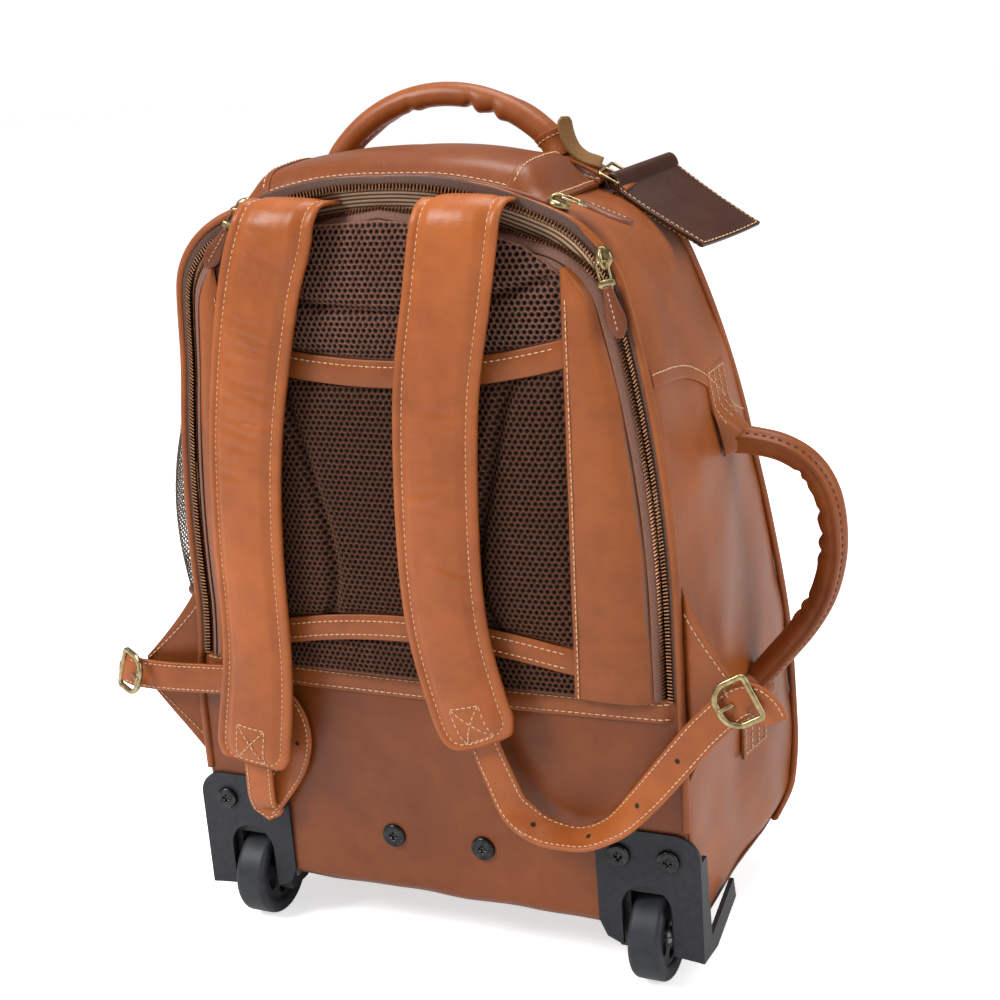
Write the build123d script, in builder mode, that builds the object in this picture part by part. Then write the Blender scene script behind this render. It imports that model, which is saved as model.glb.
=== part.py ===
from build123d import *
import os

# Wheeled laptop backpack in leather. Design frame, in millimetres: the case's back face, where the
# straps are, is the plane y = 0 and looks along -Y; +X is the side with the carry handle; z = 0 is the
# floor. The finished pieces are moved so that the origin lies under the middle of the whole.

# --- driving dimensions ----------------------------------------------------------------------------
HALF_WIDTH = 170.0          # case, from its middle to the edge of the back face
CASE_LOW = 38.0             # underside of the case
CASE_TOP = 504.0            # crown of the case
WALL = 4.0                  # leather, foam and board together
SIDE_END = 250.0            # height where the sides begin to lean in
SHOULDER = (148.0, 440.0)   # where the side turns into the corner, (x, z)
CORNER = (112.0, 483.0)     # where the corner turns into the crown
DEEPEST = 260.0             # further forward than any part of the case
HALF_SPAN = 300.0           # wider than half of anything
GAP = 0.3                   # space kept between neighbouring soft pieces
# front edge of the case in side view, from the bottom curve up: (y, z)
FRONT_POINTS = [(203.0, 95.0), (173.0, 270.0), (118.0, 430.0), (106.0, 462.0), (104.0, 505.0)]
BOTTOM_END = 140.0          # the flat bottom ends here and curves up to the front edge
HINGE_Z = 72.0              # lower edge of the front panel
FRONT_SKIN = 4.0            # front panel
POCKET_BULGE = 20.0         # front pocket, beyond the front panel
PANEL_LOW = 193.0           # lower edge of the padded back panel
PANEL_FACE = 6.0            # the back panel stands this far out of the back face
STRIP_INNER = 104.0         # inner edge of the leather strips on the back panel
STRAP_HALF = 27.0           # padded shoulder strap, half width
LOWER_WIDTH = 25.0          # narrow adjusting strap
LOWER_THICK = 3.0
BRACKET_EDGE = 178.0        # outer face of a wheel bracket, 14 inches over both
BRACKET_THICK = 3.0
BRACKET_INNER = 110.0
SCREW_X = (125.5, 157.5)
SCREW_Z = 91.4
SCREW_RADIUS = 2.5
BOLT_X = 32.0
BOLT_Z = 80.0
BOLT_RADIUS = 3.0
WHEEL_X = 142.0
WHEEL_Y = 15.8
WHEEL_RADIUS = 30.5
WHEEL_WIDTH = 22.0
RIM_RADIUS = 21.0
BEARING_RADIUS = 7.0
AXLE_RADIUS = 4.0
RUNNING = 0.05              # radial clearance of anything that turns
SLIDING = 0.1               # clearance of anything that slides, each side
TUBE_X = 62.0               # trolley tubes, either side of the middle
TUBE_Y = 34.0
TUBE_LOW = 62.0
TUBE_HIGH = 466.0
OUTER_TUBE = (24.0, 13.0)   # section of the fixed trolley tubes; each stage is a wall smaller
TUBE_WALL = 1.2
BUTTON_TRAVEL = 3.0
TOP_PIVOT = (76.0, 92.0, 509.0)
TOP_APEX = 545.0
TOP_HANDLE_RADIUS = 7.5
SIDE_HIGH = (188.5, 96.0, 326.0)
SIDE_LOW = (188.5, 112.0, 168.0)
SIDE_APEX = (236.0, 102.0, 264.0)
SIDE_HANDLE_RADIUS = 9.0
FOOT_X = 108.0
FOOT_Y = 120.0
SIDES = (("l", -1), ("r", 1))

pieces = []


def keep(sub_part, name):
    """Labels a finished piece and puts it with the others."""
    sub_part.part.label = name
    pieces.append(sub_part.part)


def behind(out=0.0):
    """Plane parallel to the back face and out behind it. A sketch on it reads x, z."""
    return Plane.XZ.offset(out)


def outline(plane, side=0.0, top=0.0, low=CASE_LOW):
    """Sketch of the case's outline seen from behind, drawn in by side and by top."""
    foot = (HALF_WIDTH - side, low)
    knee = (HALF_WIDTH - side, SIDE_END)
    shoulder = (SHOULDER[0] - side, SHOULDER[1] - top / 2)
    corner = (CORNER[0] - 0.8 * side, CORNER[1] - top)
    crown = (0.0, CASE_TOP - top)
    with BuildSketch(plane) as arch:
        with BuildLine():
            lean = TangentArc(knee, shoulder, tangent=(0, 1))
            turn = TangentArc(shoulder, corner, tangent=lean % 1)
            TangentArc(corner, crown, tangent=turn % 1)
            Polyline(crown, (0.0, low), foot, knee)
        make_face()
        mirror(about=Plane.YZ)
    return arch.sketch


def draw_front_edge(forward):
    """The front edge in side view, upwards, moved forward."""
    points = [(y + forward, z) for y, z in FRONT_POINTS]
    ThreePointArc(points[0], points[1], points[2])
    ThreePointArc(points[2], points[3], points[4])


def front_layer(near, far, low):
    """Side view of a layer on the front, from near to far beyond the front edge, above low."""
    bottom_y = FRONT_POINTS[0][0]
    top_y, top_z = FRONT_POINTS[-1]
    with BuildSketch(Plane.YZ) as side_view:
        with BuildLine():
            draw_front_edge(near)
            draw_front_edge(far)
            Line((top_y + near, top_z), (top_y + far, top_z))
            Polyline((bottom_y + near, FRONT_POINTS[0][1]), (bottom_y + near, low),
                     (bottom_y + far, low), (bottom_y + far, FRONT_POINTS[0][1]))
        make_face()
    return side_view.sketch


# --- case shell: gusset, bottom, rim and lower back, open at the front -------------------------------
with BuildPart() as room:
    extrude(outline(behind(-WALL), side=WALL, top=WALL, low=CASE_LOW + WALL), amount=-DEEPEST)
    floor_z = CASE_LOW + WALL
    with BuildSketch(Plane.YZ):
        with BuildLine():
            ThreePointArc((BOTTOM_END, floor_z), (181.0, 55.0), (197.0, HINGE_Z))
            Polyline((197.0, HINGE_Z), (DEEPEST, HINGE_Z), (DEEPEST, 600.0), (WALL, 600.0),
                     (WALL, floor_z), (BOTTOM_END, floor_z))
        make_face()
    extrude(amount=HALF_SPAN, both=True, mode=Mode.INTERSECT)

with BuildPart() as case_shell:
    extrude(outline(behind()), amount=-DEEPEST)
    with BuildSketch(Plane.YZ):
        with BuildLine():
            ThreePointArc((BOTTOM_END, CASE_LOW), (187.0, 52.0), FRONT_POINTS[0])
            draw_front_edge(0.0)
            Polyline(FRONT_POINTS[-1], (0.0, FRONT_POINTS[-1][1]), (0.0, CASE_LOW), (BOTTOM_END, CASE_LOW))
        make_face()
    extrude(amount=HALF_SPAN, both=True, mode=Mode.INTERSECT)
    add(room.part, mode=Mode.SUBTRACT)
    # opening for the back panel, and above it the gap that the shoulder straps come out of
    extrude(outline(behind(1.0), side=10.3, top=7.8, low=PANEL_LOW - GAP), amount=-(WALL + 2.0), mode=Mode.SUBTRACT)
    # slot in the crown for the trolley grip
    with BuildSketch(Plane.XY.offset(480.0)):
        with Locations((0, TUBE_Y)):
            Rectangle(160.0, 26.0)
    extrude(amount=30.0, mode=Mode.SUBTRACT)
    # wheel wells through the bottom and the back
    with BuildSketch(behind(1.0)):
        with Locations((-WHEEL_X, 53.0), (WHEEL_X, 53.0)):
            Rectangle(WHEEL_WIDTH + 22.6, 42.6)
    extrude(amount=-59.3, mode=Mode.SUBTRACT)
    # holes for the bracket screws and the trolley bolts
    with BuildSketch(behind(1.0)):
        with Locations(*[(side * x, SCREW_Z) for _, side in SIDES for x in SCREW_X]):
            Circle(SCREW_RADIUS + RUNNING)
        with Locations((-BOLT_X, BOLT_Z), (BOLT_X, BOLT_Z)):
            Circle(BOLT_RADIUS + RUNNING)
    extrude(amount=-(WALL + 2.0), mode=Mode.SUBTRACT)
keep(case_shell, "case_shell")

# --- boards and lining inside ---------------------------------------------------------------------
for name, board_y in (("trolley_board", 20.0), ("inner_divider", 48.0)):
    with BuildPart() as board:
        extrude(outline(behind(-board_y), side=WALL + 1.0, top=WALL + 1.0, low=104.0), amount=-2.0)
    keep(board, name)

LINING_LOW = 430.0
with BuildPart() as gap_lining:
    extrude(outline(behind(-WALL - GAP), side=WALL + GAP, top=WALL + GAP), amount=-14.0)
    extrude(outline(behind(-WALL), side=WALL + 1.5, top=WALL + 1.5), amount=-20.0, mode=Mode.SUBTRACT)
    split(bisect_by=Plane.XY.offset(LINING_LOW), keep=Keep.TOP)
keep(gap_lining, "gap_lining")

# --- padded back panel and what is sewn on it -------------------------------------------------------
with BuildPart() as back_panel:
    extrude(outline(behind(PANEL_FACE), side=14.8, top=19.0, low=PANEL_LOW), amount=-(PANEL_FACE + WALL))
keep(back_panel, "back_panel")


def zip_row(outer, inner, low, out):
    """Tape and teeth of one zip row: a band between two outlines, each (side, top)."""
    with BuildPart() as row:
        extrude(outline(behind(out), side=outer[0], top=outer[1], low=low), amount=2.2)
        extrude(outline(behind(out - 1.0), side=inner[0], top=inner[1], low=low - 10.0), amount=5.0, mode=Mode.SUBTRACT)
    return row


keep(zip_row((10.6, 15.3), (13.7, 18.7), PANEL_LOW + 4.0, 0.2), "back_zip_panel_row")
keep(zip_row((5.0, 2.5), (10.0, 7.0), PANEL_LOW + 4.0, 0.2), "back_zip_case_row")


def panel_layer(thick, low_ends, low_middle, high_ends, high_middle):
    """A layer on the back panel between two curved edges."""
    half = STRIP_INNER - GAP
    with BuildPart() as layer:
        with BuildSketch(behind(PANEL_FACE + GAP)):
            with BuildLine():
                ThreePointArc((-half, low_ends), (0, low_middle), (half, low_ends))
                Line((half, low_ends), (half, high_ends))
                ThreePointArc((half, high_ends), (0, high_middle), (-half, high_ends))
                Line((-half, high_ends), (-half, low_ends))
            make_face()
        extrude(amount=thick)
    return layer


keep(panel_layer(8.0, 412.5, 400.5, 460.0, 482.0), "upper_mesh_pad")
keep(panel_layer(3.0, 396.5, 384.5, 412.0, 400.0), "upper_panel_band")
keep(panel_layer(6.0, 227.5, 239.5, 396.0, 384.0), "spine_mesh_pad")
keep(panel_layer(3.0, 211.5, 223.5, 227.0, 239.0), "lower_panel_band")
keep(panel_layer(5.0, 196.0, 196.5, 211.0, 223.0), "lumbar_mesh_pad")

with BuildPart() as panel_side_strips:
    extrude(outline(behind(PANEL_FACE + GAP), side=20.0, top=24.0, low=PANEL_LOW + 3.0), amount=1.8)
    with BuildSketch(behind(PANEL_FACE)):
        with Locations((0, 350.0)):
            Rectangle(2 * STRIP_INNER, 400.0)
    extrude(amount=4.0, mode=Mode.SUBTRACT)
keep(panel_side_strips, "panel_side_strips")

# --- piping round the back and the front edge ---------------------------------------------------------
with BuildPart() as back_piping:
    extrude(outline(behind(0.2), side=-1.5, top=-1.5, low=112.0), amount=2.4)
    extrude(outline(behind(-1.0), side=4.7, top=2.2, low=100.0), amount=5.0, mode=Mode.SUBTRACT)
keep(back_piping, "back_piping")

with BuildPart() as front_piping:
    extrude(outline(behind(), side=-3.6, top=-3.6, low=60.0), amount=-DEEPEST)
    extrude(front_layer(-4.0, 0.0, HINGE_Z + 6.0), amount=HALF_SPAN, both=True, mode=Mode.INTERSECT)
    extrude(outline(behind(), side=-0.2, top=-0.2, low=30.0), amount=-2 * DEEPEST, mode=Mode.SUBTRACT)
keep(front_piping, "front_piping")

# --- front panel with its pocket, which folds down about its lower edge -------------------------------
with BuildPart() as front_panel:
    extrude(outline(behind(), side=0.5, top=0.5, low=60.0), amount=-DEEPEST)
    extrude(front_layer(GAP, GAP + FRONT_SKIN, HINGE_Z + GAP), amount=HALF_SPAN, both=True, mode=Mode.INTERSECT)
keep(front_panel, "front_panel")

POCKET_SIZE = (296.0, 236.0)
POCKET_Z = 216.0
POCKET_SKIN = 2.5
with BuildPart() as pocket_room:
    with BuildSketch(behind()):
        with Locations((0, POCKET_Z + 1.0)):
            RectangleRounded(POCKET_SIZE[0] - 2 * POCKET_SKIN, POCKET_SIZE[1] - 2 * POCKET_SKIN, 28.0)
    extrude(amount=-DEEPEST)
    extrude(front_layer(0.0, FRONT_SKIN + POCKET_BULGE - POCKET_SKIN, 90.0), amount=HALF_SPAN, both=True,
            mode=Mode.INTERSECT)

with BuildPart() as front_pocket:
    with BuildSketch(behind()):
        with Locations((0, POCKET_Z)):
            RectangleRounded(POCKET_SIZE[0], POCKET_SIZE[1], 30.0)
    extrude(amount=-DEEPEST)
    extrude(front_layer(FRONT_SKIN + 2 * GAP, FRONT_SKIN + POCKET_BULGE, 90.0), amount=HALF_SPAN, both=True,
            mode=Mode.INTERSECT)
    add(pocket_room.part, mode=Mode.SUBTRACT)
keep(front_pocket, "front_pocket")

# --- bottle pocket on the side without a handle ---------------------------------------------------------
POCKET_Y = 84.0
POCKET_OUT = 16.0


def side_pocket_band(low, high):
    """The pocket's walls between two heights: front, back and outer side."""
    middle = (low + high) / 2
    with BuildPart() as band:
        with BuildSketch(Plane.YZ.offset(-HALF_WIDTH - GAP)):
            with Locations((POCKET_Y, middle)):
                Rectangle(128.0, high - low)
        extrude(amount=-POCKET_OUT)
        with BuildSketch(Plane.YZ.offset(-HALF_WIDTH)):
            with Locations((POCKET_Y, middle)):
                Rectangle(122.0, high - low + 10.0)
        extrude(amount=-(POCKET_OUT - 3.0), mode=Mode.SUBTRACT)
    return band


with BuildPart() as bottle_pocket:
    add(side_pocket_band(230.0, 340.0).part)
    with BuildSketch(Plane.XY.offset(226.0)):
        with Locations((-HALF_WIDTH - GAP - POCKET_OUT / 2, POCKET_Y)):
            Rectangle(POCKET_OUT, 128.0)
    extrude(amount=4.0)
keep(bottle_pocket, "bottle_pocket")
keep(side_pocket_band(340.0 + GAP, 352.0), "pocket_binding")

# --- padded shoulder straps ---------------------------------------------------------------------------------
STRAP_FACE = 16.6           # inner face of the straps, behind the back face
STRAP_THICK = 14.0
NECK_TOP = 8.2              # the neck passes between the two zip rows, this far under the crown
NECK_THICK = 5.8
NECK_END = 19.6             # its inner end is sewn to the trolley board
STRAP_CENTRES = {
    "l": [(-54, 500), (-76, 440), (-96, 360), (-105, 290), (-109, 200), (-118, 138)],
    "r": [(60, 500), (48, 440), (36, 380), (30, 300), (31, 240), (41, 190), (49, 168)],
}


def strap_outline(centres):
    """Sketch of a padded strap seen from behind, with a rounded lower end."""
    with BuildSketch(behind(STRAP_FACE + STRAP_THICK)) as shape:
        with BuildLine():
            right = Spline([(x + STRAP_HALF, z) for x, z in centres])
            left = Spline([(x - STRAP_HALF, z) for x, z in centres])
            Line(right @ 0, left @ 0)
            ThreePointArc(right @ 1, (right @ 1 + left @ 1) / 2 + Vector(0, -9.0), left @ 1)
        make_face()
    return shape.sketch


for end, _ in SIDES:
    seen = strap_outline(STRAP_CENTRES[end])
    with BuildPart() as shoulder_strap:
        extrude(seen, amount=-STRAP_FACE - STRAP_THICK - NECK_END)
        under_crown = outline(behind(STRAP_FACE + STRAP_THICK), side=12.0, top=NECK_TOP, low=50.0)
        extrude(under_crown, amount=-2 * DEEPEST, mode=Mode.INTERSECT)
        panel_side = outline(behind(STRAP_FACE), side=10.0, top=NECK_TOP + NECK_THICK, low=40.0)
        extrude(panel_side, amount=-2 * DEEPEST, mode=Mode.SUBTRACT)
    keep(shoulder_strap, "shoulder_strap_" + end)

# --- narrow adjusting straps, side tabs and buckles ------------------------------------------------------------
BUCKLE = {"l": (-212.0, 184.0), "r": (206.0, 201.0)}
LOWER_ROUTE = {
    "l": [[(-118, 136), (-122, 96)], [(-116, 96), BUCKLE["l"]]],
    "r": [[(50, 160), (66, 114), (106, 101), (150, 132), (182, 172), BUCKLE["r"]]],
}
for end, _ in SIDES:
    with BuildPart() as lower_strap:
        with BuildSketch(behind(STRAP_FACE - 1.0 - LOWER_THICK)):
            for run in LOWER_ROUTE[end]:
                with BuildLine():
                    if len(run) > 2:
                        FilletPolyline(*run, radius=24.0)
                    else:
                        Line(*run)
                trace(line_width=LOWER_WIDTH)
        extrude(amount=LOWER_THICK)
    keep(lower_strap, "lower_strap_" + end)

TAB_THICK = 2.6
with BuildPart() as strap_tabs:
    for end, side in SIDES:
        x, z = BUCKLE[end]
        with BuildSketch(behind(3.2)):
            with BuildLine():
                Polyline((side * 168.0, z + 62.0), (side * 168.0, z - 66.0), (x - side * 12.0, z - 13.0),
                         (x - side * 4.0, z - 9.0), (x - side * 4.0, z + 9.0), (side * 168.0, z + 62.0))
            make_face()
        extrude(amount=TAB_THICK)
keep(strap_tabs, "strap_tabs")

FRAME_HALF = (15.0, 20.0)
with BuildPart() as strap_buckles:
    for end, side in SIDES:
        with BuildSketch(behind(STRAP_FACE + 0.2)):
            with Locations(BUCKLE[end]):
                RectangleRounded(2 * FRAME_HALF[0], 2 * FRAME_HALF[1], 8.0)
                RectangleRounded(2 * FRAME_HALF[0] - 9, 2 * FRAME_HALF[1] - 9, 5.0, mode=Mode.SUBTRACT)
        extrude(amount=3.5)
keep(strap_buckles, "strap_buckles")

with BuildPart() as buckle_prongs:
    for end, side in SIDES:
        with BuildSketch(behind(STRAP_FACE + 4.0)):
            with Locations(BUCKLE[end]):
                SlotOverall(2 * FRAME_HALF[0] - 2, 3.0)
        extrude(amount=2.2)
keep(buckle_prongs, "buckle_prongs")

# --- wheel brackets, housings, axles and wheels -----------------------------------------------------------------
for end, side in SIDES:
    with BuildPart() as wheel_bracket:
        with BuildSketch(behind(0.2)):
            with BuildLine():
                Polyline((side * BRACKET_EDGE, 24.0), (side * BRACKET_EDGE, 92.0))
                ThreePointArc((side * BRACKET_EDGE, 92.0), (side * (BRACKET_EDGE - 5.0), 104.0),
                              (side * (BRACKET_EDGE - 17.0), 109.0))
                Polyline((side * (BRACKET_EDGE - 17.0), 109.0), (side * BRACKET_INNER, 109.0),
                         (side * BRACKET_INNER, 44.0), (side * (BRACKET_INNER + 5.0), 33.0),
                         (side * (BRACKET_INNER + 14.0), 29.0), (side * BRACKET_EDGE, 24.0))
            make_face()
            with Locations((side * WHEEL_X, 36.0)):
                SlotOverall(72.0, 33.0, rotation=90, mode=Mode.SUBTRACT)
            with Locations(*[(side * x, SCREW_Z) for x in SCREW_X]):
                Circle(SCREW_RADIUS + RUNNING, mode=Mode.SUBTRACT)
        extrude(amount=BRACKET_THICK)
        # side flange: a narrow upright and a foot that runs forward under the case
        with BuildSketch(Plane.YZ.offset(side * BRACKET_EDGE)):
            with BuildLine():
                Polyline((-BRACKET_THICK - 0.2, 92.0), (9.0, 92.0), (14.0, 34.0), (62.0, 48.0), (66.0, 33.0),
                         (24.0, 21.0), (-BRACKET_THICK - 0.2, 24.0), (-BRACKET_THICK - 0.2, 92.0))
            make_face()
        extrude(amount=-side * BRACKET_THICK)
    keep(wheel_bracket, "wheel_bracket_" + end)

HOUSING_HALF = WHEEL_WIDTH / 2 + 11.0
with BuildPart() as wheel_housings:
    for _, side in SIDES:
        across = Plane.YZ.offset(side * WHEEL_X)
        with BuildSketch(across):
            Polygon((WALL + GAP, 102.0), (10.0, 102.0), (10.0, 74.0), (58.0, 74.0), (58.0, 42.3), (26.0, 22.0),
                    (6.0, 22.0), (WALL + GAP, 30.0), align=None)
        extrude(amount=HOUSING_HALF, both=True)
        with BuildSketch(across):
            with Locations((WHEEL_Y, WHEEL_RADIUS)):
                Circle(WHEEL_RADIUS + 4.0)
            with Locations((WHEEL_Y, 10.0)):
                Rectangle(2 * WHEEL_RADIUS + 8.0, 41.0)
        extrude(amount=WHEEL_WIDTH / 2 + 2.0, both=True, mode=Mode.SUBTRACT)
        with BuildSketch(across):
            with Locations((WHEEL_Y, WHEEL_RADIUS)):
                Circle(AXLE_RADIUS)
        extrude(amount=HOUSING_HALF + 1.0, both=True, mode=Mode.SUBTRACT)
        with BuildSketch(behind()):
            with Locations(*[(side * x, SCREW_Z) for x in SCREW_X]):
                Circle(SCREW_RADIUS)
        extrude(amount=-12.0, mode=Mode.SUBTRACT)
keep(wheel_housings, "wheel_housings")

with BuildPart() as wheel_axles:
    for _, side in SIDES:
        with BuildSketch(Plane.YZ.offset(side * WHEEL_X)):
            with Locations((WHEEL_Y, WHEEL_RADIUS)):
                Circle(AXLE_RADIUS)
        extrude(amount=HOUSING_HALF - 0.5, both=True)
keep(wheel_axles, "wheel_axles")


def fasteners(spots, shaft_radius, head_radius, face, length):
    """Pan-head screws along Y: heads standing on the plane face behind the back face."""
    with BuildPart() as group:
        with BuildSketch(behind(face)):
            with Locations(*spots):
                Circle(head_radius)
        extrude(amount=3.0)
        with BuildSketch(behind(face)):
            with Locations(*spots):
                Circle(shaft_radius)
        extrude(amount=-length)
        with BuildSketch(behind(face + 3.0)):
            with Locations(*spots):
                RectangleRounded(5.0, 1.4, 0.3)
                RectangleRounded(1.4, 5.0, 0.3)
        extrude(amount=-1.6, mode=Mode.SUBTRACT)
        fillet(group.edges().filter_by(GeomType.CIRCLE).group_by(Axis.Y)[0], radius=1.4)
    return group


screw_spots = [(side * x, SCREW_Z) for _, side in SIDES for x in SCREW_X]
bolt_spots = [(side * BOLT_X, BOLT_Z) for _, side in SIDES]
keep(fasteners(screw_spots, SCREW_RADIUS, 7.5, 0.2 + BRACKET_THICK, 12.5), "bracket_screws")
keep(fasteners(bolt_spots, BOLT_RADIUS, 8.0, 0.2, 26.0), "trolley_bolts")

for end, side in SIDES:
    hub_plane = Plane.YZ.offset(side * WHEEL_X)
    with BuildPart() as tyre:
        with BuildSketch(Plane.XY) as section:
            with Locations((WHEEL_RADIUS / 2 + RIM_RADIUS / 2, 0)):
                RectangleRounded(WHEEL_RADIUS - RIM_RADIUS, WHEEL_WIDTH, 4.0)
            with Locations((RIM_RADIUS, 0)):
                Rectangle(2.0, WHEEL_WIDTH - 4.0, align=(Align.MIN, Align.CENTER))
        revolve(axis=Axis.Y)
    with BuildPart() as hub:
        with BuildSketch(Plane.XY.offset(-8.0)):
            Circle(RIM_RADIUS)
            Circle(BEARING_RADIUS, mode=Mode.SUBTRACT)
        extrude(amount=16.0)
        with BuildSketch(Plane.XY.offset(-9.0)):
            with PolarLocations(13.8, 5):
                SlotOverall(10.0, 7.0, rotation=90)
        extrude(amount=18.0, mode=Mode.SUBTRACT)
    with BuildPart() as bearings:
        for low in (-8.0, 2.0):
            with BuildSketch(Plane.XY.offset(low)):
                Circle(BEARING_RADIUS)
                Circle(AXLE_RADIUS + RUNNING, mode=Mode.SUBTRACT)
            extrude(amount=6.0)
    centre = Location((side * WHEEL_X, WHEEL_Y, WHEEL_RADIUS))
    for piece, name, turn in ((tyre.part, "tyre_", (0, 0, 90)), (hub.part, "hub_", (0, 90, 0)),
                              (bearings.part, "bearings_", (0, 90, 0))):
        placed = centre * Location((0, 0, 0), turn) * piece
        placed.label = name + end
        pieces.append(placed)

# --- front feet ---------------------------------------------------------------------------------------------------
with BuildPart() as front_feet:
    for _, side in SIDES:
        with BuildSketch(Plane.XY):
            with Locations((side * FOOT_X, FOOT_Y)):
                RectangleRounded(34.0, 22.0, 6.0)
        with BuildSketch(Plane.XY.offset(CASE_LOW - 0.2)):
            with Locations((side * FOOT_X, FOOT_Y)):
                RectangleRounded(48.0, 34.0, 8.0)
        loft()
keep(front_feet, "front_feet")

# --- trolley: fixed tubes, two sliding stages, grip and button ---------------------------------------------------------
def tube_pair(section, wall, low, high):
    """Two upright tubes, open through the middle when wall is given."""
    with BuildPart() as tubes:
        with BuildSketch(Plane.XY.offset(low)):
            with Locations((-TUBE_X, TUBE_Y), (TUBE_X, TUBE_Y)):
                RectangleRounded(section[0], section[1], 3.0)
                if wall:
                    RectangleRounded(section[0] - 2 * wall, section[1] - 2 * wall, 2.0, mode=Mode.SUBTRACT)
        extrude(amount=high - low)
    return tubes


stage = 2 * (TUBE_WALL + SLIDING)
MID_TUBE = (OUTER_TUBE[0] - stage, OUTER_TUBE[1] - stage)
INNER_TUBE = (MID_TUBE[0] - stage, MID_TUBE[1] - stage)
GRIP_LOW = 480.0
keep(tube_pair(OUTER_TUBE, TUBE_WALL, TUBE_LOW, TUBE_HIGH), "trolley_outer_tubes")
keep(tube_pair(MID_TUBE, TUBE_WALL, TUBE_LOW + 6.0, TUBE_HIGH + 6.0), "trolley_mid_tubes")
keep(tube_pair(INNER_TUBE, 0.0, TUBE_LOW + 12.0, GRIP_LOW), "trolley_inner_tubes")

with BuildPart() as trolley_base:
    with BuildSketch(Plane.XY.offset(TUBE_LOW - 6.0)):
        with Locations((0, 24.3)):
            RectangleRounded(160.0, 39.0, 4.0)
    extrude(amount=46.0)
    with BuildSketch(Plane.XY.offset(TUBE_LOW)):
        with Locations((-TUBE_X, TUBE_Y), (TUBE_X, TUBE_Y)):
            RectangleRounded(OUTER_TUBE[0], OUTER_TUBE[1], 3.0)
    extrude(amount=60.0, mode=Mode.SUBTRACT)
    with BuildSketch(behind()):
        with Locations(*bolt_spots):
            Circle(BOLT_RADIUS)
    extrude(amount=-26.0, mode=Mode.SUBTRACT)
keep(trolley_base, "trolley_base")

BUTTON_SIZE = (30.0, 9.0)
with BuildPart() as trolley_grip:
    with BuildSketch(behind(-TUBE_Y + 9.0)):
        Polygon((-76.0, GRIP_LOW), (-76.0, 489.0), (-66.0, 500.0), (66.0, 500.0), (76.0, 489.0), (76.0, GRIP_LOW),
                align=None)
    extrude(amount=-18.0)
    fillet(trolley_grip.edges().filter_by(GeomType.LINE).group_by(Axis.Z)[-1], radius=3.0)
    with BuildSketch(Plane.XY.offset(GRIP_LOW + 8.0)):
        with Locations((0, TUBE_Y)):
            RectangleRounded(BUTTON_SIZE[0] + 2 * SLIDING, BUTTON_SIZE[1] + 2 * SLIDING, 3.0)
    extrude(amount=30.0, mode=Mode.SUBTRACT)
keep(trolley_grip, "trolley_grip")

with BuildPart() as release_button:
    with BuildSketch(Plane.XY.offset(GRIP_LOW + 8.2 + BUTTON_TRAVEL)):
        with Locations((0, TUBE_Y)):
            RectangleRounded(BUTTON_SIZE[0], BUTTON_SIZE[1], 3.0)
    extrude(amount=11.3)
keep(release_button, "release_button")

# --- zipped leather cover over the trolley grip ----------------------------------------------------------------------------
COVER_Y = (10.0, 80.0)
COVER_DEPTH = COVER_Y[1] - COVER_Y[0]
COVER_RISE = 12.0
COVER_SKIN = 3.0
COVER_HALF = 100.0
with BuildPart() as cover_room:
    under = COVER_SKIN - COVER_RISE
    extrude(outline(behind(-COVER_Y[0] - COVER_SKIN), side=under, top=under), amount=2 * COVER_SKIN - COVER_DEPTH)
    with BuildSketch(Plane.XY):
        Rectangle(2 * (COVER_HALF - COVER_SKIN), 2 * DEEPEST)
    extrude(amount=600.0, mode=Mode.INTERSECT)

with BuildPart() as top_cover:
    extrude(outline(behind(-COVER_Y[0]), side=-COVER_RISE, top=-COVER_RISE), amount=-COVER_DEPTH)
    extrude(outline(behind(), side=-GAP, top=-GAP, low=10.0), amount=-DEEPEST, mode=Mode.SUBTRACT)
    with BuildSketch(Plane.XY.offset(CASE_TOP / 2)):
        Rectangle(2 * COVER_HALF, 2 * DEEPEST)
    extrude(amount=CASE_TOP, mode=Mode.INTERSECT)
    add(cover_room.part, mode=Mode.SUBTRACT)
keep(top_cover, "top_cover")


# --- rolled leather handles and their sewn tabs ------------------------------------------------------------------------------
def rolled_handle(start, apex, finish, radius):
    """A round handle on an arc, with a ball at each end where it bends on its tab."""
    with BuildPart() as handle:
        with BuildLine():
            spine = ThreePointArc(start, apex, finish)
        with BuildSketch(Plane(origin=spine @ 0, z_dir=spine % 0)):
            Circle(radius)
        sweep()
        with Locations(start, finish):
            Sphere(radius)
    return handle


top_start = (-TOP_PIVOT[0], TOP_PIVOT[1], TOP_PIVOT[2])
keep(rolled_handle(top_start, (0.0, TOP_PIVOT[1], TOP_APEX), TOP_PIVOT, TOP_HANDLE_RADIUS), "top_handle")
keep(rolled_handle(SIDE_HIGH, SIDE_APEX, SIDE_LOW, SIDE_HANDLE_RADIUS), "side_handle")

with BuildPart() as handle_tabs:
    for _, side in SIDES:
        with Locations(Location((side * 82.0, TOP_PIVOT[1], 496.4), (0, side * 14.5, 0))):
            Box(38.0, 14.0, 2.4)
    for y, z in ((SIDE_HIGH[1], SIDE_HIGH[2] + 22.0), (SIDE_LOW[1], SIDE_LOW[2] - 22.0)):
        with BuildSketch(Plane.YZ.offset(HALF_WIDTH + 0.6)):
            with Locations((y, z)):
                RectangleRounded(34.0, 58.0, 6.0)
        extrude(amount=2.4)
keep(handle_tabs, "handle_tabs")

# --- luggage tag on its strap at the foot of the top handle ----------------------------------------------------------------------
TAG_SLOPE = 30.0            # the tag leans down over the case's shoulder
tag_plane = Plane(origin=(TOP_PIVOT[0] + 11.0, TOP_PIVOT[1], 508.0), x_dir=(1, 0, 0), z_dir=(0, 0, 1))
tag_plane = tag_plane.rotated((0, TAG_SLOPE, 0))

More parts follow.
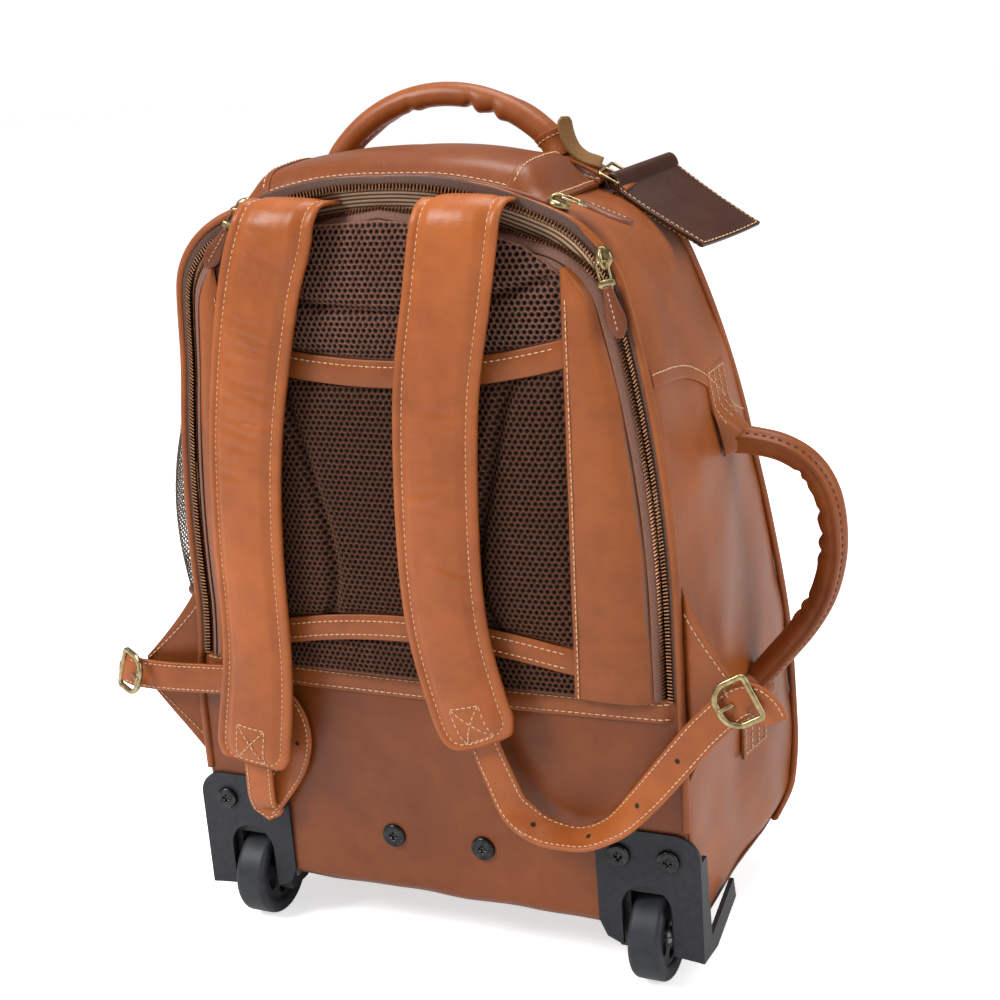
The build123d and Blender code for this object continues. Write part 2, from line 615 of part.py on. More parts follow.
with BuildPart() as tag_strap:
    with BuildSketch(tag_plane):
        with Locations((17.0, 0.0)):
            RectangleRounded(34.0, 13.0, 2.0)
    extrude(amount=2.4)
keep(tag_strap, "tag_strap")

with BuildPart() as tag_buckle:
    with BuildSketch(tag_plane.offset(2.4 + GAP)):
        with Locations((24.0, 0.0)):
            RectangleRounded(14.0, 19.0, 3.0)
            Rectangle(9.0, 14.0, mode=Mode.SUBTRACT)
    extrude(amount=2.0)
keep(tag_buckle, "tag_buckle")

with BuildPart() as luggage_tag:
    with BuildSketch(tag_plane):
        with Locations((83.0, 0.0)):
            RectangleRounded(88.0, 54.0, 4.0)
    extrude(amount=5.0)
    with BuildSketch(tag_plane.offset(5.0)):
        with Locations((43.0, 0.0)):
            RectangleRounded(8.0, 54.0, 3.0)
    extrude(amount=4.0)
keep(luggage_tag, "luggage_tag")


# --- zip sliders and their pulls ---------------------------------------------------------------------------------------------------
PULL_WIDTH = 11.0
PULL_LENGTH = 42.0
PULL_LIFT = 5.4             # the pull clears the panel and piping beside the zip


def slider_and_pull(place, length, name):
    """A slider flat on its zip and a pull that hangs along the plane's -y from the slider's bail."""
    with BuildPart() as slider:
        with BuildSketch(place):
            RectangleRounded(8.0, 13.0, 3.0)
        extrude(amount=3.0)
        with BuildSketch(place.offset(3.0)):
            with Locations((0, -3.0)):
                RectangleRounded(3.0, 5.0, 1.0)
        extrude(amount=2.0)
    with BuildPart() as pull:
        with BuildSketch(place.offset(PULL_LIFT)):
            with BuildLine():
                top = -7.0
                Polyline((-2.2, top), (2.2, top), (2.2, top - 10.0))
                ThreePointArc((2.2, top - 10.0), (PULL_WIDTH / 2, 9.0 - length), (0, -length))
                ThreePointArc((0, -length), (-PULL_WIDTH / 2, 9.0 - length), (-2.2, top - 10.0))
                Line((-2.2, top - 10.0), (-2.2, top))
            make_face()
        extrude(amount=2.6)
    keep(slider, name + "_slider")
    keep(pull, name + "_pull")


def zip_plane(origin, down, facing):
    """Plane for a slider: its -y points down the zip and its z looks away from the case."""
    z_dir = Vector(*facing).normalized()
    y_dir = -Vector(*down)
    return Plane(origin=origin, x_dir=y_dir.cross(z_dir), z_dir=z_dir)


ZIPS = {
    "back_r": zip_plane((137.0, -3.0, 459.0), (0.22, 0, -1), (0, -1, 0)),
    "back_l": zip_plane((-91.0, -3.0, 490.0), (-0.62, 0, -0.78), (0, -1, 0)),
    "cover": zip_plane((108.5, 4.2, 487.0), (0.93, 0, -0.37), (0.37, 0, 0.93)),
    "front": zip_plane((-60.0, 109.6, 484.0), (0, 0.12, -0.99), (0, 0.99, 0.12)),
}
for name, place in ZIPS.items():
    slider_and_pull(place, PULL_LENGTH, name)

# --- move everything so that the origin lies under the middle, and write the pieces --------------------------------------------------
bounds = Compound(children=[piece.moved(Location()) for piece in pieces]).bounding_box()
ORIGIN = Vector(bounds.center().X, bounds.center().Y, bounds.min.Z)

os.makedirs("parts", exist_ok=True)
for piece in pieces:
    moved = piece.moved(Location(-ORIGIN))
    moved.label = piece.label
    export_step(moved, f"parts/{piece.label}.step")
print(len(pieces), "pieces; size", bounds.size, "origin", ORIGIN)
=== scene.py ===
import math
import random

import bpy
import bmesh
import numpy as np
from mathutils import Matrix, Vector, noise


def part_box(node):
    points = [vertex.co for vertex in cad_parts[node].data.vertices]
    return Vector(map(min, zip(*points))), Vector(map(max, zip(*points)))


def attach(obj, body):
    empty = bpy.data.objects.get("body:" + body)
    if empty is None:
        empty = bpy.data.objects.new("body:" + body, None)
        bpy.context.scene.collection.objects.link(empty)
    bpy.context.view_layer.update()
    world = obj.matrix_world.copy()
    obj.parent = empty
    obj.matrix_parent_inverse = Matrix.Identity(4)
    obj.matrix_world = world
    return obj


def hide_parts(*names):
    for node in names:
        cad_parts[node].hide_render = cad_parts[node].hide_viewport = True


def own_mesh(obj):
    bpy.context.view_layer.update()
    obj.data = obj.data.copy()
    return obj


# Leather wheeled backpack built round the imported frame. Shapes are worked out in the CAD's design
# frame in millimetres (back face y = 0 looking along -Y, floor z = 0) and moved by SHIFT, which comes
# from the frame: the middle between the wheels and the back of the case shell.
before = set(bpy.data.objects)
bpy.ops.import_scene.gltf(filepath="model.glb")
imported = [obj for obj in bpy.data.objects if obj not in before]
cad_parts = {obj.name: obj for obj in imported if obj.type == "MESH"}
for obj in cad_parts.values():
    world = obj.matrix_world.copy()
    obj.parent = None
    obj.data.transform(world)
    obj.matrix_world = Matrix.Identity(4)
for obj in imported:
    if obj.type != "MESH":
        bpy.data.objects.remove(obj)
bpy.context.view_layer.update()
random.seed(11)
rng = np.random.default_rng(11)

wheel_boxes = [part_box("tyre_l"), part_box("tyre_r")]
middle_x = sum(corner.x for pair in wheel_boxes for corner in pair) / 4
SHIFT = np.array([middle_x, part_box("case_shell")[0].y, 0.0])
CASE_LOW = 38.0     # height of the case bottom
WHEEL_X = 142.0     # the wheels, out from the middle
CENTRE = np.array([0.0, 110.0, 260.0])      # a point inside the case; open surfaces face away from it
TO_BACK = np.array([0.0, -1.0, 0.0])
TO_FRONT = np.array([0.0, 1.0, 0.0])
FINE = {"pitch": 3.4, "length": 2.5, "radius": 0.36}        # stitching of the small pieces
ROLL = {"pitch": 5.0, "length": 3.2, "radius": 0.35}        # stitching of the rolled handles


def V(x, y, z):
    return Vector(np.array([x, y, z]) / 1000 + SHIFT)


# ---------------------------------------------------------------- curves
def run_length(points):
    """Distance of each point from the first, along the line."""
    return np.concatenate([[0], np.cumsum(np.linalg.norm(np.diff(points, axis=0), axis=1))])


def resample(points, step=None, count=None):
    points = np.asarray(points, float)
    s = run_length(points)
    n = count or max(2, int(round(s[-1] / step)) + 1)
    t = np.linspace(0, s[-1], n)
    return np.stack([np.interp(t, s, points[:, k]) for k in range(points.shape[1])], 1)


def smooth_path(points, n=24):
    """Catmull-Rom through the points."""
    p = np.asarray(points, float)
    p = np.vstack([2 * p[0] - p[1], p, 2 * p[-1] - p[-2]])
    out = []
    for i in range(1, len(p) - 2):
        for t in np.linspace(0, 1, n, endpoint=False):
            a, b, c, d = p[i - 1], p[i], p[i + 1], p[i + 2]
            out.append(0.5 * (2 * b + (c - a) * t + (2 * a - 5 * b + 4 * c - d) * t ** 2
                + (3 * b - a - 3 * c + d) * t ** 3))
    out.append(p[-2])
    return np.array(out)


def circle(count):
    return np.linspace(0, 2 * math.pi, count, endpoint=False)


def rings(path, radius, side, nrm, ang, flat=1.0):
    """Points round a path at the given angles; radius is one row per point of the path."""
    return path[:, None] + radius[..., None] * (np.cos(ang)[None, :, None] * side[:, None]
        + flat * np.sin(ang)[None, :, None] * nrm[:, None])


def tangents(p):
    t = np.gradient(p, axis=0)
    return t / np.maximum(np.linalg.norm(t, axis=1, keepdims=True), 1e-9)


def unit(v):
    v = np.asarray(v, float)
    return v / np.maximum(np.linalg.norm(v, axis=-1, keepdims=True), 1e-9)


def frames(path, up):
    """Across and normal directions along a path; up is one vector or one per point."""
    t = tangents(path)
    up = np.broadcast_to(np.asarray(up, float), path.shape)
    side = unit(np.cross(t, up))
    return t, side, unit(np.cross(side, t))


def ramp(x, points):
    xs, ys = zip(*points)
    return np.interp(x, xs, ys)


def ease(x, lo, hi):
    t = np.clip((np.asarray(x, float) - lo) / (hi - lo), 0, 1)
    return t * t * (3 - 2 * t)


# ---------------------------------------------------------------- case outline, as in the CAD
def arc_from(a, t, b, n):
    a, t, b = (np.asarray(v, float) for v in (a, t, b))
    d = b - a
    left = np.array([-t[1], t[0]])
    r = d @ d / (2 * (d @ left))
    c = a + left * r
    a0 = math.atan2(*(a - c)[::-1])
    a1 = math.atan2(*(b - c)[::-1])
    turn = (a1 - a0) % (2 * math.pi) if r > 0 else -((a0 - a1) % (2 * math.pi))
    ang = np.linspace(a0, a0 + turn, n)
    pts = c + abs(r) * np.stack([np.cos(ang), np.sin(ang)], 1)
    end = np.array([math.cos(turn) * t[0] - math.sin(turn) * t[1], math.sin(turn) * t[0]
        + math.cos(turn) * t[1]])
    return pts, end


def arch(side=0.0, top=0.0, low=CASE_LOW, count=241):
    """The case outline from the right foot over the crown to the left foot, as x and z."""
    knee = (170 - side, 250.0)
    a, t = arc_from(knee, (0.0, 1.0), (148 - side, 440 - top / 2), 60)
    b, t = arc_from(a[-1], t, (112 - 0.8 * side, 483 - top), 40)
    c, _ = arc_from(b[-1], t, (0.0, 504 - top), 60)
    half = np.vstack([[170 - side, low], a, b[1:], c[1:]])
    whole = np.vstack([half, (half * [-1, 1])[-2::-1]])
    return resample(whole, count=count)


def arch_normals(p):
    t = tangents(p)
    return np.stack([t[:, 1], -t[:, 0]], 1)


half_arch = arch(count=2001)[:1001]


def half_width(z):
    return np.interp(z, half_arch[:, 1], half_arch[:, 0])


def arc3(p, q, r, n=60):
    (x1, y1), (x2, y2), (x3, y3) = p, q, r
    d = 2 * (x1 * (y2 - y3) + x2 * (y3 - y1) + x3 * (y1 - y2))
    ux = ((x1 * x1 + y1 * y1) * (y2 - y3) + (x2 * x2 + y2 * y2) * (y3 - y1) + (x3 * x3 + y3 * y3) * (y1
        - y2)) / d
    uy = ((x1 * x1 + y1 * y1) * (x3 - x2) + (x2 * x2 + y2 * y2) * (x1 - x3) + (x3 * x3 + y3 * y3) * (x2
        - x1)) / d
    a = [math.atan2(y - uy, x - ux) for x, y in (p, q, r)]
    a[1] = a[0] + (a[1] - a[0] + math.pi) % (2 * math.pi) - math.pi
    a[2] = a[1] + (a[2] - a[1] + math.pi) % (2 * math.pi) - math.pi
    ang = np.linspace(a[0], a[2], n)
    return np.stack([ux + math.hypot(x1 - ux, y1 - uy) * np.cos(ang), uy + math.hypot(x1 - ux, y1 - uy)
        * np.sin(ang)], 1)


front_edge = np.vstack([arc3((140, 38), (187, 52), (203, 95)), arc3((203, 95), (173, 270), (118, 430))[1:],
    arc3((118, 430), (106, 462), (104, 505))[1:]])


def front_y(z):
    return np.interp(z, front_edge[:, 1], front_edge[:, 0])


# ---------------------------------------------------------------- materials
def new_material(name):
    m = bpy.data.materials.new(name)
    m.use_nodes = True
    nt = m.node_tree
    return m, nt, nt.nodes["Principled BSDF"]


def node(nt, kind, **values):
    n = nt.nodes.new(kind)
    for key, value in values.items():
        if key in n.inputs:
            n.inputs[key].default_value = value
        else:
            setattr(n, key, value)
    return n


def values(shader, **sockets):
    """Uniform values of a shader's sockets; an underscore in a name stands for a space."""
    for key, value in sockets.items():
        shader.inputs[key.replace("_", " ")].default_value = value


def object_noise(nt, scale, detail=3.0, stretch=None, rough=0.5):
    tc = node(nt, "ShaderNodeTexCoord")
    source = tc.outputs["Object"]
    if stretch:
        mp = node(nt, "ShaderNodeMapping")
        mp.inputs["Scale"].default_value = stretch
        nt.links.new(source, mp.inputs["Vector"])
        source = mp.outputs["Vector"]
    n = node(nt, "ShaderNodeTexNoise", Scale=scale, Detail=detail, Roughness=rough)
    nt.links.new(source, n.inputs["Vector"])
    return n.outputs["Fac"]


def two_tone(nt, fac, low, high, a=0.3, b=0.7):
    r = node(nt, "ShaderNodeValToRGB")
    r.color_ramp.elements[0].position = a
    r.color_ramp.elements[0].color = (*low, 1)
    r.color_ramp.elements[1].position = b
    r.color_ramp.elements[1].color = (*high, 1)
    nt.links.new(fac, r.inputs["Fac"])
    return r.outputs["Color"]


def mix(nt, fac, a, b, kind="MIX"):
    m = node(nt, "ShaderNodeMix", data_type="RGBA", blend_type=kind)
    for socket, value in ((m.inputs["Factor"], fac), (m.inputs["A"], a), (m.inputs["B"], b)):
        if hasattr(value, "links"):
            nt.links.new(value, socket)
        elif isinstance(value, (int, float)):
            socket.default_value = value
        else:
            socket.default_value = (*value, 1)
    return m.outputs["Result"]


def add_bump(nt, shader, layers):
    """layers: (height output, strength, distance in metres)"""
    previous = None
    for height, strength, distance in layers:
        b = node(nt, "ShaderNodeBump", Strength=strength, Distance=distance)
        nt.links.new(height, b.inputs["Height"])
        if previous:
            nt.links.new(previous, b.inputs["Normal"])
        previous = b.outputs["Normal"]
    nt.links.new(previous, shader.inputs["Normal"])


def rough_range(nt, shader, fac, low, high):
    m = node(nt, "ShaderNodeMapRange")
    m.inputs["To Min"].default_value = low
    m.inputs["To Max"].default_value = high
    nt.links.new(fac, m.inputs["Value"])
    nt.links.new(m.outputs["Result"], shader.inputs["Roughness"])


def leather(name, low, high, rough=(0.34, 0.48), crease=0.25, coat=0.12, grain=0.22):
    m, nt, s = new_material(name)
    cloud = object_noise(nt, 7.0, 4.0, rough=0.55)
    fine = object_noise(nt, 60.0, 5.0, rough=0.6)
    base = two_tone(nt, cloud, low, high, 0.32, 0.68)
    mottled = mix(nt, 0.35, base, two_tone(nt, fine, low, high, 0.3, 0.72))
    tc = node(nt, "ShaderNodeTexCoord")
    pores = node(nt, "ShaderNodeTexVoronoi", Scale=900.0)
    nt.links.new(tc.outputs["Object"], pores.inputs["Vector"])
    pore_dark = two_tone(nt, pores.outputs["Distance"], (0.8, 0.76, 0.72), (1, 1, 1), 0.02, 0.22)
    nt.links.new(mix(nt, 0.5, mottled, pore_dark, "MULTIPLY"), s.inputs["Base Color"])
    rough_range(nt, s, fine, *rough)
    wrinkle = object_noise(nt, 90.0, 4.0, (1.0, 1.0, 2.6), 0.62)
    add_bump(nt, s, [(wrinkle, crease, 0.0006), (fine, 0.22, 0.0008), (pores.outputs["Distance"], grain,
        0.00025)])
    values(s, Coat_Weight=coat, Coat_Roughness=0.28, Specular_IOR_Level=0.3)
    return m


COGNAC = leather("leather_cognac", (0.158, 0.037, 0.0065), (0.325, 0.086, 0.017), (0.34, 0.5), 0.25, 0.03)
COGNAC_STRAP = leather("leather_strap", (0.205, 0.048, 0.0085), (0.395, 0.104, 0.020), (0.32, 0.48), 0.4, 0.04)
COGNAC_DARK = leather("leather_edge", (0.095, 0.024, 0.008), (0.17, 0.045, 0.015), (0.3, 0.44), 0.25, 0.03)
# darker copy of the leather: on the lower back it is painted shade, darker where the light falls off towards
# the floor; the cover and its bands use it as a darker tone
COGNAC_LOW = leather("leather_lower", (0.112, 0.024, 0.0036), (0.215, 0.053, 0.0085), (0.3, 0.44), 0.25, 0.03)
TAG_DARK = leather("leather_tag", (0.024, 0.0062, 0.0022), (0.058, 0.016, 0.0055), (0.24, 0.36), 0.2, 0.03)
SUEDE = leather("suede", (0.13, 0.062, 0.018), (0.23, 0.118, 0.042), (0.85, 0.95), 0.6, 0.0, 0.6)


def thread_material():
    m, nt, s = new_material("thread")
    fine = object_noise(nt, 700.0, 2.0)
    nt.links.new(two_tone(nt, fine, (0.46, 0.25, 0.12), (0.70, 0.46, 0.28)), s.inputs["Base Color"])
    twist = object_noise(nt, 2200.0, 1.0)
    add_bump(nt, s, [(twist, 0.6, 0.0002)])
    values(s, Roughness=0.6)
    return m


def mesh_material(name, low, high):
    """Spacer mesh: the hole attribute mixes the dimples of the knit to near black, painted shade inside the
    holes.
    """
    m, nt, s = new_material(name)
    at = node(nt, "ShaderNodeAttribute", attribute_name="hole")
    fine = object_noise(nt, 1500.0, 2.0)
    cloud = object_noise(nt, 9.0, 2.0)
    yarn = two_tone(nt, fine, low, high)
    yarn = mix(nt, 0.5, yarn, two_tone(nt, cloud, (0.7, 0.7, 0.7), (1, 1, 1)), "MULTIPLY")
    # painted shade: near black in the holes of the knit
    nt.links.new(mix(nt, at.outputs["Fac"], yarn, (0.004, 0.002, 0.0015)), s.inputs["Base Color"])
    knit = node(nt, "ShaderNodeTexVoronoi", Scale=1900.0)
    tc = node(nt, "ShaderNodeTexCoord")
    nt.links.new(tc.outputs["Object"], knit.inputs["Vector"])
    add_bump(nt, s, [(knit.outputs["Distance"], 0.5, 0.0003)])
    values(s, Roughness=0.72, Specular_IOR_Level=0.12, Sheen_Weight=0.03)
    return m


def tape_material(name, low, high, weave=1400.0):
    m, nt, s = new_material(name)
    fine = object_noise(nt, weave, 1.0)
    ribs = object_noise(nt, weave / 2, 1.0, (1.0, 1.0, 0.15))
    nt.links.new(two_tone(nt, fine, low, high), s.inputs["Base Color"])
    add_bump(nt, s, [(ribs, 0.5, 0.0003), (fine, 0.4, 0.0002)])
    values(s, Roughness=0.75)
    return m


def lining_material():
    """Thin brown and cream stripes along the cloth, from the piece's own UVs in millimetres."""
    m, nt, s = new_material("striped_lining")
    uv = node(nt, "ShaderNodeUVMap", uv_map="cloth")
    split = node(nt, "ShaderNodeSeparateXYZ")
    nt.links.new(uv.outputs["UV"], split.inputs["Vector"])
    wob = object_noise(nt, 25.0, 1.0)
    shift = node(nt, "ShaderNodeMath", operation="MULTIPLY_ADD")
    shift.inputs[1].default_value = 0.8
    nt.links.new(wob, shift.inputs[0])
    nt.links.new(split.outputs["Y"], shift.inputs[2])
    scale = node(nt, "ShaderNodeMath", operation="MULTIPLY")
    scale.inputs[1].default_value = 0.42
    nt.links.new(shift.outputs[0], scale.inputs[0])
    part = node(nt, "ShaderNodeMath", operation="FRACT")
    nt.links.new(scale.outputs[0], part.inputs[0])
    r = node(nt, "ShaderNodeValToRGB")
    r.color_ramp.elements[0].position = 0.38
    r.color_ramp.elements[0].color = (0.105, 0.048, 0.028, 1)
    r.color_ramp.elements[1].position = 0.5
    r.color_ramp.elements[1].color = (0.62, 0.42, 0.26, 1)
    e = r.color_ramp.elements.new(0.92)
    e.color = (0.52, 0.34, 0.20, 1)
    e = r.color_ramp.elements.new(1.0)
    e.color = (0.105, 0.048, 0.028, 1)
    nt.links.new(part.outputs[0], r.inputs["Fac"])
    nt.links.new(r.outputs["Color"], s.inputs["Base Color"])
    add_bump(nt, s, [(object_noise(nt, 1600.0, 1.0), 0.4, 0.0002)])
    values(s, Roughness=0.7)
    return m


def metal(name, low, high, rough, scale=220.0, metallic=1.0, bump=0.05, coat=0.0):
    m, nt, s = new_material(name)
    fac = object_noise(nt, scale, 4.0)
    nt.links.new(two_tone(nt, fac, low, high), s.inputs["Base Color"])
    rough_range(nt, s, fac, *rough)
    values(s, Metallic=metallic, Coat_Weight=coat, Specular_IOR_Level=0.3)
    add_bump(nt, s, [(object_noise(nt, scale * 6, 3.0), bump, 0.0002)])
    return m


THREAD = thread_material()
MESH = mesh_material("air_mesh", (0.086, 0.031, 0.016), (0.160, 0.064, 0.035))
# painted light: a lighter copy of the same mesh for the upper pad, which stands brighter lit than the spine and
# lumbar pads
MESH_PAINTED_LIGHT = mesh_material("air_mesh_painted_light", (0.150, 0.064, 0.042), (0.270, 0.125, 0.086))
TAPE = tape_material("zip_tape", (0.05, 0.022, 0.014), (0.105, 0.048, 0.03))
NET = tape_material("net_cord", (0.05, 0.035, 0.025), (0.13, 0.095, 0.07))
BINDING = tape_material("mesh_binding", (0.13, 0.055, 0.034), (0.2, 0.09, 0.06))
LINING = lining_material()
BRASS = metal("antique_brass", (0.20, 0.145, 0.06), (0.46, 0.37, 0.20), (0.2, 0.36))
TEETH = metal("zip_teeth", (0.20, 0.085, 0.04), (0.42, 0.22, 0.12), (0.28, 0.42), 500.0)
POWDER = metal("bracket_powder", (0.012, 0.013, 0.016), (0.021, 0.022, 0.026), (0.38, 0.5), 300.0, 0.15, 0.25)
BLACK_STEEL = metal("black_steel", (0.016, 0.017, 0.018), (0.05, 0.05, 0.052), (0.16, 0.3), 260.0, 0.9)
STEEL = metal("axle_steel", (0.38, 0.38, 0.39), (0.6, 0.6, 0.6), (0.25, 0.4))
RUBBER = metal("tyre_rubber", (0.013, 0.015, 0.019), (0.025, 0.028, 0.033), (0.42, 0.56), 120.0, 0.0, 0.25)
PLASTIC = metal("moulded_black", (0.012, 0.012, 0.014), (0.03, 0.03, 0.033), (0.35, 0.5), 150.0, 0.0, 0.15)
ALUMINIUM = metal("tube_aluminium", (0.50, 0.50, 0.52), (0.57, 0.57, 0.59), (0.30, 0.35), 400.0)
BOARD = tape_material("board_fibre", (0.03, 0.03, 0.03), (0.06, 0.055, 0.05), 400.0)


# ---------------------------------------------------------------- mesh building
def slump(co):
    """The loaded case leans: narrower at its back on the -x side, fuller low at the front on the +x side."""
    x, y, z = co[:, 0], co[:, 1], co[:, 2]
    inward = 8.0 * ease(-x, 95, 160) * ease(z, 150, 240) * (1 - ease(z, 380, 468)) * (1 - ease(y, 20, 120))
    outward = 11.0 * ease(x, 100, 165) * ease(z, 22, 58) * (1 - ease(z, 150, 330)) * ease(y, 80, 165)
    return co + np.stack([inward + outward, 0 * x, 0 * x], 1)


def make(name, co, faces, material, slot="leather", body="case", nodes=(), smooth=True, uv=None, attrs=None,
        thick=0.0, bevel=0.0, outward=None, recalc=False):
    """A mesh piece from points in mm; outward is a point that open surfaces face away from."""
    co = np.asarray(co, float)
    if body in ("case", "front_panel") and not name.startswith("pocket_"):
        co = slump(co)
    me = bpy.data.meshes.new(name)
    faces = np.asarray(faces) if not isinstance(faces, list) else faces
    if outward is not None:
        f = np.array([q[:4] if len(q) >= 4 else list(q) + [q[-1]] for q in faces])
        a, b, c, d = (co[f[:, k]] for k in range(4))
        nrm = np.cross(c - a, d - b)
        mid = (a + b + c + d) / 4
        if (nrm * (mid - np.asarray(outward))).sum() < 0:
            faces = [list(q)[::-1] for q in faces]
    me.from_pydata((co / 1000 + SHIFT).tolist(), [], [list(map(int, q)) for q in faces])
    if uv is not None:
        layer = me.uv_layers.new(name="cloth")
        flat = np.asarray(uv, float).reshape(-1, 2)
        index = np.zeros(len(me.loops), np.int32)
        me.loops.foreach_get("vertex_index", index)
        layer.data.foreach_set("uv", flat[index].ravel().astype(np.float32))
    for key, values in (attrs or {}).items():
        at = me.attributes.new(key, "FLOAT", "POINT")
        at.data.foreach_set("value", np.asarray(values, np.float32).ravel())
    if recalc:
        bm = bmesh.new()
        bm.from_mesh(me)
        bmesh.ops.recalc_face_normals(bm, faces=bm.faces)
        bm.to_mesh(me)
        bm.free()
    me.polygons.foreach_set("use_smooth", [smooth] * len(me.polygons))
    me.materials.append(material)
    me.update()
    ob = bpy.data.objects.new(name, me)
    bpy.context.scene.collection.objects.link(ob)
    if thick:
        mod = ob.modifiers.new("thickness", "SOLIDIFY")
        mod.thickness = thick / 1000
        mod.offset = -1
    if bevel:
        mod = ob.modifiers.new("edges", "BEVEL")
        mod.width = bevel / 1000
        mod.segments = 2
        mod.limit_method = "ANGLE"
        mod.angle_limit = math.radians(50)
    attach(ob, body)
    if nodes:
        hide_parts(*nodes)
    return ob


def grid_faces(n, m, close_u=False, close_v=False, start=0):
    i = np.arange(n if close_u else n - 1)
    j = np.arange(m if close_v else m - 1)
    i, j = np.meshgrid(i, j, indexing="ij")
    i2, j2 = (i + 1) % n, (j + 1) % m
    f = np.stack([i * m + j, i2 * m + j, i2 * m + j2, i * m + j2], -1).reshape(-1, 4)
    return (f + start).tolist()


def grid(name, P, material, slot="leather", close_u=False, close_v=False, caps=False, open_at=None, **kw):
    n, m = P.shape[:2]
    faces = grid_faces(n, m, close_u, close_v)
    if open_at is not None:
        flat = P.reshape(-1, 3)
        faces = [q for q in faces if not open_at(*flat[q].mean(axis=0))]
    if caps:
        faces.append(list(range(m))[::-1])
        faces.append([(n - 1) * m + k for k in range(m)])
        kw["recalc"] = True
    elif close_v and close_u:
        kw["recalc"] = True
    elif "outward" not in kw:
        kw["outward"] = CENTRE
    return make(name, P.reshape(-1, 3), faces, material, slot, **kw)


def surface_frame(P):
    du = np.gradient(P, axis=0)
    dv = np.gradient(P, axis=1)
    return unit(np.cross(du, dv))


def tube(path, radius, around=14, up=(0, 0, 1), flat=1.0):
    """Closed rings round a path; radius may vary along it."""
    path = np.asarray(path, float)
    _, side, nrm = frames(path, up)
    r = np.broadcast_to(np.asarray(radius, float), (len(path),))
    return rings(path, r[:, None], side, nrm, circle(around), flat)


def wobble(P, scale, amount, seed=0.0):
    """Soft unevenness of hand-sewn leather: moves points along the surface normal."""
    nrm = surface_frame(P)
    flat = P.reshape(-1, 3)
    d = np.array([noise.noise(Vector(p * scale + seed)) for p in flat]).reshape(P.shape[:2])
    return P + nrm * (amount * d)[..., None]


STITCH_T = np.array([-0.5, -0.3, 0.3, 0.5])
STITCH_R = np.array([0.4, 1.0, 1.0, 0.4])
STITCH_H = np.array([-0.35, 0.16, 0.16, -0.35])


def stitch_mesh(runs, pitch, length, radius):
    """Thread dashes along runs of (points, normals). Returns points and faces."""
    all_co, all_f, start = [], [], 0
    ang = circle(5)
    for points, normals in runs:
        joined = np.hstack([np.asarray(points, float), np.broadcast_to(normals, np.shape(points))])
        s = run_length(joined[:, :3])
        if s[-1] < pitch:
            continue
        count = int(s[-1] // pitch)
        at = (np.arange(count) + 0.5) * s[-1] / count
        row = np.stack([np.interp(at, s, joined[:, k]) for k in range(6)], 1)
        ahead = np.stack([np.interp(at + 0.6, s, joined[:, k]) for k in range(3)], 1)
        behind = np.stack([np.interp(at - 0.6, s, joined[:, k]) for k in range(3)], 1)
        c, nrm, t = row[:, :3], unit(row[:, 3:]), unit(ahead - behind)
        side = unit(np.cross(t, nrm))
        nrm = np.cross(side, t)
        slant = rng.normal(0, 0.05, count)[:, None]
        t = unit(t + side * slant)
        co = (c[:, None, None] + (STITCH_T * length)[None, :, None, None] * t[:, None, None]
            + (radius * STITCH_R)[None, :, None, None] * (np.cos(ang)[None, None, :, None]
            * side[:, None, None] + np.sin(ang)[None, None, :, None] * nrm[:, None, None])
            + STITCH_H[None, :, None, None] * nrm[:, None, None])
        for _ in range(count):
            all_f += grid_faces(4, 5, False, True, start)
            all_f.append([start + k for k in (4, 3, 2, 1, 0)])
            all_f.append([start + 15 + k for k in range(5)])
            start += 20
        all_co.append(co.reshape(-1, 3))
    return np.vstack(all_co), all_f


def stitches(name, runs, body="case", pitch=4.0, length=3.0, radius=0.42, material=None):
    co, f = stitch_mesh(runs, pitch, length, radius)
    return make(name, co, f, material or THREAD, body=body)


# ---------------------------------------------------------------- case: gusset, yoke, bottom and lower back
def side_bulge(z, v):
    tall = np.sin(np.pi * np.clip((z - CASE_LOW) / 440.0, 0, 1)) ** 0.7
    return 6.5 * tall * np.sin(np.pi * np.clip(v, 0, 1)) ** 0.8


def seam_z(y):
    return ramp(y, [(0, 385), (30, 383), (60, 378), (85, 366), (105, 348), (125, 333), (160, 322)])


def smooth_ramp(y):
    return (seam_z(y - 9) + seam_z(y - 4.5) + seam_z(y) + seam_z(y + 4.5) + seam_z(y + 9)) / 5


V_STEPS = np.linspace(0, 1, 41)
SEAM_RUN = 150.0    # how far forward the seam between gusset and yoke is described
for sign, end in ((1, "r"), (-1, "l")):
    rows = []
    for v in V_STEPS:
        zs = smooth_ramp(v * SEAM_RUN)
        z = np.linspace(CASE_LOW, zs + 6.0, 111)
        x = half_width(z) + side_bulge(z, v) - 1.2 * ease(abs(z - CASE_LOW), 14, 0)
        rows.append(np.stack([sign * x, v * front_y(z), z + 0 * x], 1))
    P = np.array(rows)
    P = wobble(P, 0.022, 2.2, 3.0 + sign)
    grid("gusset_" + end, P, COGNAC, thick=1.4)

GRIP_Y = 34.0       # middle of the trolley tubes


def in_grip_slot(x, y, z):
    """The trolley comes out of the crown through this opening, under the cover."""
    return abs(x) < 80.0 and abs(y - GRIP_Y) < 13.0 and z > 440.0


